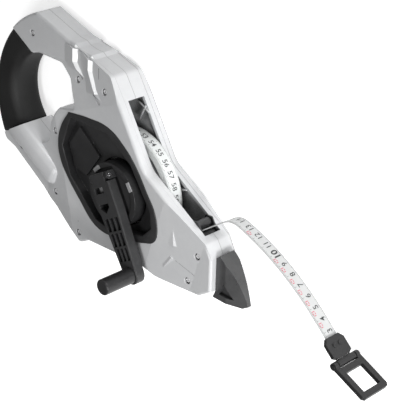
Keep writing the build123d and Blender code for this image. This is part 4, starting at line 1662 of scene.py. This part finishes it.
@dataclass
class PanScrews(CasingTrim):
    """Pan head screws with cross slots, each in a collar painted dark as the shadow of its well, in
    millimetres.

    Attributes:
        places: Axes of the screws.
        head: Radius of a head.
        collar: Radius of the collar round a head, whose upper face carries the painted shadow.
        shank: Radius of a shank.
        tip: Height of the shank's tip from the parting plane.
        tip_length: Length of the tip's cone.
        seat: Height of the head's seat from the parting plane.
        below: Depth of the head's top below the side.
        collar_drop: Depth of the collar below the head's top.
        crown: Share of the head's radius and depth below its top, from its edge inwards.
        turn_steps: Steps round a screw.
        cross: Length, width and depth of a slot.
        cross_turn: Turn of the first slot in radians.
        weld: Distance under which a screw's points are merged.
        level_face: Least upward share of the normals of the collar faces that get the painted shadow.
    """

    places: Sequence[Pair] = (
        (-106, 112), (-46, 86), (-12, 84), (-76, 34), (-130, 4), (-83, -25), (-50, -52), (89, -28), (78, -53),
    )
    head: float = 2.0
    collar: float = 2.85
    shank: float = 1.5
    tip: float = -9.0
    tip_length: float = 1.0
    seat: float = 10.6
    below: float = 0.7
    collar_drop: float = 1.1
    crown: Sequence[Pair] = ((1.0, 0.6), (0.86, 0.3), (0.5, 0.06), (0.0, 0.0))
    turn_steps: int = 28
    cross: Point = (3.0, 0.75, 1.6)
    cross_turn: float = 0.4
    weld: float = 0.01
    level_face: float = 0.9
    smooth: float = 35.0

    def build(self) -> None:
        """Turns the screws, cuts their cross slots and paints their collars dark as the wells' shadow."""
        made, slots = bmesh.new(), bmesh.new()
        for x, y in self.places:
            top = self.side_height(x, y) - self.below
            self._turn_screw(made, x, y, top)
            self._place_cross(slots, Vector((x, y, self.middle + top)))
        bmesh.ops.remove_doubles(made, verts=made.verts, dist=self.weld * MM)
        bmesh.ops.recalc_face_normals(slots, faces=slots.faces)
        blades = new_object(slots, "cross_slots")
        screws = self.piece(made, "pan_screws", SCREW, "steel", "shell_screws")
        cut = screws.modifiers.new("cross_slots", "BOOLEAN")
        cut.operation = "DIFFERENCE"
        cut.solver = "EXACT"
        cut.use_self = True
        cut.object = blades
        self.settle(screws)
        bpy.data.objects.remove(blades)
        # Painted shadow on the collars' upper faces, for the wells.
        self._darken_collars(screws)

    def _turn_screw(self, made: bmesh.types.BMesh, x: float, y: float, top: float) -> None:
        """Turns one screw round its axis.

        Args:
            made: Mesh that gets the screw.
            x: Place of the axis along the tape's way out.
            y: Place of the axis towards the handle's top.
            top: Height of the head's top above the parting plane.
        """
        ledge = top - self.collar_drop
        profile = [
            (0.0, self.tip), (self.shank, self.tip + self.tip_length), (self.shank, self.seat),
            (self.collar, self.seat), (self.collar, ledge), (self.head, ledge),
        ]
        profile += [(self.head * share, top - drop) for share, drop in self.crown]
        line = [made.verts.new(Vector((x + radius, y, self.middle + height)) * MM)
                for radius, height in profile]
        edges = [made.edges.new(pair) for pair in zip(line, line[1:])]
        bmesh.ops.spin(made, geom=line + edges, cent=Vector((x, y, 0.0)) * MM, axis=(0.0, 0.0, 1.0),
                       angle=2 * math.pi, steps=self.turn_steps, use_merge=True, use_duplicate=False)

    def _place_cross(self, slots: bmesh.types.BMesh, spot: Vector) -> None:
        """Places the two blades that cut a cross slot.

        Args:
            slots: Mesh that gets the blades.
            spot: Middle of the head's top.
        """
        for turn in (self.cross_turn, self.cross_turn + math.pi / 2):
            blade = bmesh.ops.create_cube(slots, size=1.0)["verts"]
            bmesh.ops.scale(slots, verts=blade, vec=Vector(self.cross) * MM)
            bmesh.ops.rotate(slots, verts=blade, matrix=Matrix.Rotation(turn, 3, "Z"))
            bmesh.ops.translate(slots, verts=blade, vec=spot * MM)

    def _darken_collars(self, screws: bpy.types.Object) -> None:
        """Gives the collars' upper faces a painted shadow, the dark finish of the wells.

        Args:
            screws: The screws' piece.
        """
        screws.data.materials.append(self.painter.material(WELL_SHADOW))
        for face in screws.data.polygons:
            spot = face.center / MM
            reach = min(math.hypot(spot.x - x, spot.y - y) for x, y in self.places)
            if face.normal.z > self.level_face and self.head < reach < self.collar:
                face.material_index = 1


@dataclass
class GripSleeve(CasingTrim):
    """The soft grip sleeve, in millimetres.

    Attributes:
        voxel: Size of the even mesh that is smoothed.
        soft_factor: Strength of one round of smoothing.
        soft_rounds: Rounds of smoothing.
    """

    voxel: float = 1.2
    soft_factor: float = 0.5
    soft_rounds: int = 6
    smooth: float = 60.0

    def build(self) -> None:
        """Rounds a copy of the CAD sleeve into the softer moulding."""
        made = bmesh.new()
        made.from_mesh(frame["nodes"]["handle_grip"].data)
        bmesh.ops.remove_doubles(made, verts=made.verts, dist=MERGE)
        sleeve = self.piece(made, "grip_sleeve", RUBBER, "grip_rubber", "handle_grip", turn=False)
        even = sleeve.modifiers.new("even", "REMESH")
        even.mode = "VOXEL"
        even.voxel_size = self.voxel * MM
        even.use_smooth_shade = True
        soft = sleeve.modifiers.new("soft", "SMOOTH")
        soft.factor = self.soft_factor
        soft.iterations = self.soft_rounds
        self.settle(sleeve)


@dataclass
class CadFinish:
    """Finishes of the CAD nodes.

    Attributes:
        painter: Source of materials.
    """

    painter: Painter

    def build(self) -> None:
        """Paints every CAD node by its slot, or by its own finish."""
        slots = {part["node"]: part["material_slot"] for part in frame["record"]["subparts"]}
        for name, node in frame["nodes"].items():
            finish = NODE_FINISH.get(name, SLOT_FINISH[slots[name]])
            self.painter.paint(node, finish)
            LOG.info("%s gets %s", name, finish.name)


@dataclass(frozen=True)
class Lamp:
    """One soft light.

    Attributes:
        name: Light name.
        spot: Place in metres.
        aim: Point that it faces, in metres.
        size: Side of its square, or its radius where it has a cone, in metres.
        power: Power in watts.
        cone: Opening of its cone in degrees, or 0 for a square panel.
    """

    name: str
    spot: Point
    aim: Point
    size: float
    power: float
    cone: float = 0.0


@dataclass
class Studio:
    """Floor, lights, world and camera, in metres.

    Attributes:
        camera_spot: Place of the camera.
        forward: Direction that the camera looks in.
        right: Direction to the right of the picture.
        lens: Focal length in millimetres.
        sensor: Width of the sensor in millimetres.
        clip_start: Distance under which the camera sees nothing.
        lamps: Lights.
        cone_blend: Share of a cone that fades out.
        world_light: Strength of the surroundings.
        floor_half: Half of the floor's side.
        floor_steps: Squares along the floor's side.
        floor_drop: Gap between the floor and the resting face.
        floor_glow: Strength of the floor's own light.
        floor_roughness: Roughness of the floor.
        cloud_scale: Scale of the floor's slow changes.
        cloud_span: Range of the changes that is read.
        floor_tones: Grey at both ends of that range.
    """

    camera_spot: Point = (0.7416, 0.4347, 0.6825)
    forward: Point = (-0.6440, -0.4131, -0.6440)
    right: Point = (0.7071, 0.0, -0.7071)
    lens: float = 115.6
    sensor: float = 36.0
    clip_start: float = 0.01
    lamps: Sequence[Lamp] = (
        Lamp("front", (1.27, -0.26, 0.46), (0.0, 0.02, 0.02), 0.35, 17.0),
        Lamp("side", (0.36, -0.22, 1.05), (0.05, -0.05, 0.03), 0.45, 4.6),
        Lamp("strip", (0.62, 0.74, 0.16), (0.075, -0.005, 0.02), 0.12, 25.0, 16.0),
        Lamp("arm", (0.20, 0.85, 0.455), (-0.108, -0.002, 0.03), 0.06, 13.0, 8.0),
    )
    cone_blend: float = 0.8
    world_light: float = 0.20
    floor_half: float = 4.0
    floor_steps: int = 4
    floor_drop: float = 0.0002
    floor_glow: float = 0.64
    floor_roughness: float = 0.8
    cloud_scale: float = 3.0
    cloud_span: Pair = (0.3, 0.7)
    floor_tones: Pair = (0.88, 0.90)

    def build(self) -> None:
        """Builds the whole studio."""
        self._add_floor()
        self._set_world()
        for lamp in self.lamps:
            self._add_lamp(lamp)
        self._add_camera()

    def _add_floor(self) -> None:
        """Adds the pale floor that the tool lies on."""
        made = bmesh.new()
        steps = self.floor_steps
        bmesh.ops.create_grid(made, x_segments=steps, y_segments=steps, size=self.floor_half)
        bmesh.ops.translate(made, verts=made.verts, vec=(0.0, 0.0, -self.floor_drop))
        floor = new_object(made, "floor")
        floor.data.materials.append(self._floor_material())

    def _floor_material(self) -> bpy.types.Material:
        """Makes the floor's pale, faintly clouded material.

        Returns:
            The new material.
        """
        material = bpy.data.materials.new("pale_floor")
        material.use_nodes = True
        graph = Graph(material.node_tree)
        shader = material.node_tree.nodes["Principled BSDF"]
        cloud = graph.noise(graph.add("TexCoord").outputs["Object"], self.cloud_scale)
        tone = graph.spread(cloud, self.cloud_span, self.floor_tones)
        grey = graph.add("CombineColor")
        for socket in grey.inputs:
            graph.join(tone, socket)
        graph.join(grey.outputs[0], shader.inputs["Base Color"])
        shader.inputs["Roughness"].default_value = self.floor_roughness
        shader.inputs["Emission Color"].default_value = WHITE
        shader.inputs["Emission Strength"].default_value = self.floor_glow
        return material

    def _set_world(self) -> None:
        """Sets the even white surroundings."""
        world = bpy.data.worlds.new("studio")
        bpy.context.scene.world = world
        world.use_nodes = True
        sky = world.node_tree.nodes["Background"]
        sky.inputs["Color"].default_value = WHITE
        sky.inputs["Strength"].default_value = self.world_light
        bpy.context.scene.view_settings.view_transform = "Standard"

    def _add_lamp(self, lamp: Lamp) -> None:
        """Adds one soft light.

        Args:
            lamp: Its place, size and power.
        """
        light = bpy.data.lights.new(lamp.name, "SPOT" if lamp.cone else "AREA")
        light.energy = lamp.power
        if lamp.cone:
            light.spot_size = math.radians(lamp.cone)
            light.spot_blend = self.cone_blend
            light.shadow_soft_size = lamp.size
        else:
            light.size = lamp.size
        holder = bpy.data.objects.new(lamp.name, light)
        holder.location = lamp.spot
        aim = Vector(lamp.aim) - Vector(lamp.spot)
        holder.rotation_euler = aim.to_track_quat("-Z", "Y").to_euler()
        bpy.context.scene.collection.objects.link(holder)

    def _add_camera(self) -> None:
        """Adds the camera that sees the tool as the photo does."""
        camera = bpy.data.cameras.new("camera")
        camera.lens = self.lens
        camera.sensor_width = self.sensor
        camera.clip_start = self.clip_start
        holder = bpy.data.objects.new("camera", camera)
        forward = Vector(self.forward).normalized()
        right = Vector(self.right).normalized()
        up = right.cross(forward)
        turn = holder.matrix_world.to_3x3()
        turn.col[0], turn.col[1], turn.col[2] = right, up, -forward
        holder.matrix_world = turn.to_4x4()
        holder.location = self.camera_spot
        bpy.context.scene.collection.objects.link(holder)
        bpy.context.scene.camera = holder


def main() -> None:
    """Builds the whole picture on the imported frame."""
    logging.basicConfig(level=logging.INFO)
    painter = Painter()
    CadFinish(painter).build()
    Tape(painter).build()
    for trim in (PlateSteps, PlateLines, LowerArmSwell, SlotRibs, DishRim, PanScrews, GripSleeve):
        trim(painter).build()
    Studio().build()


if __name__ == "__main__":
    main()
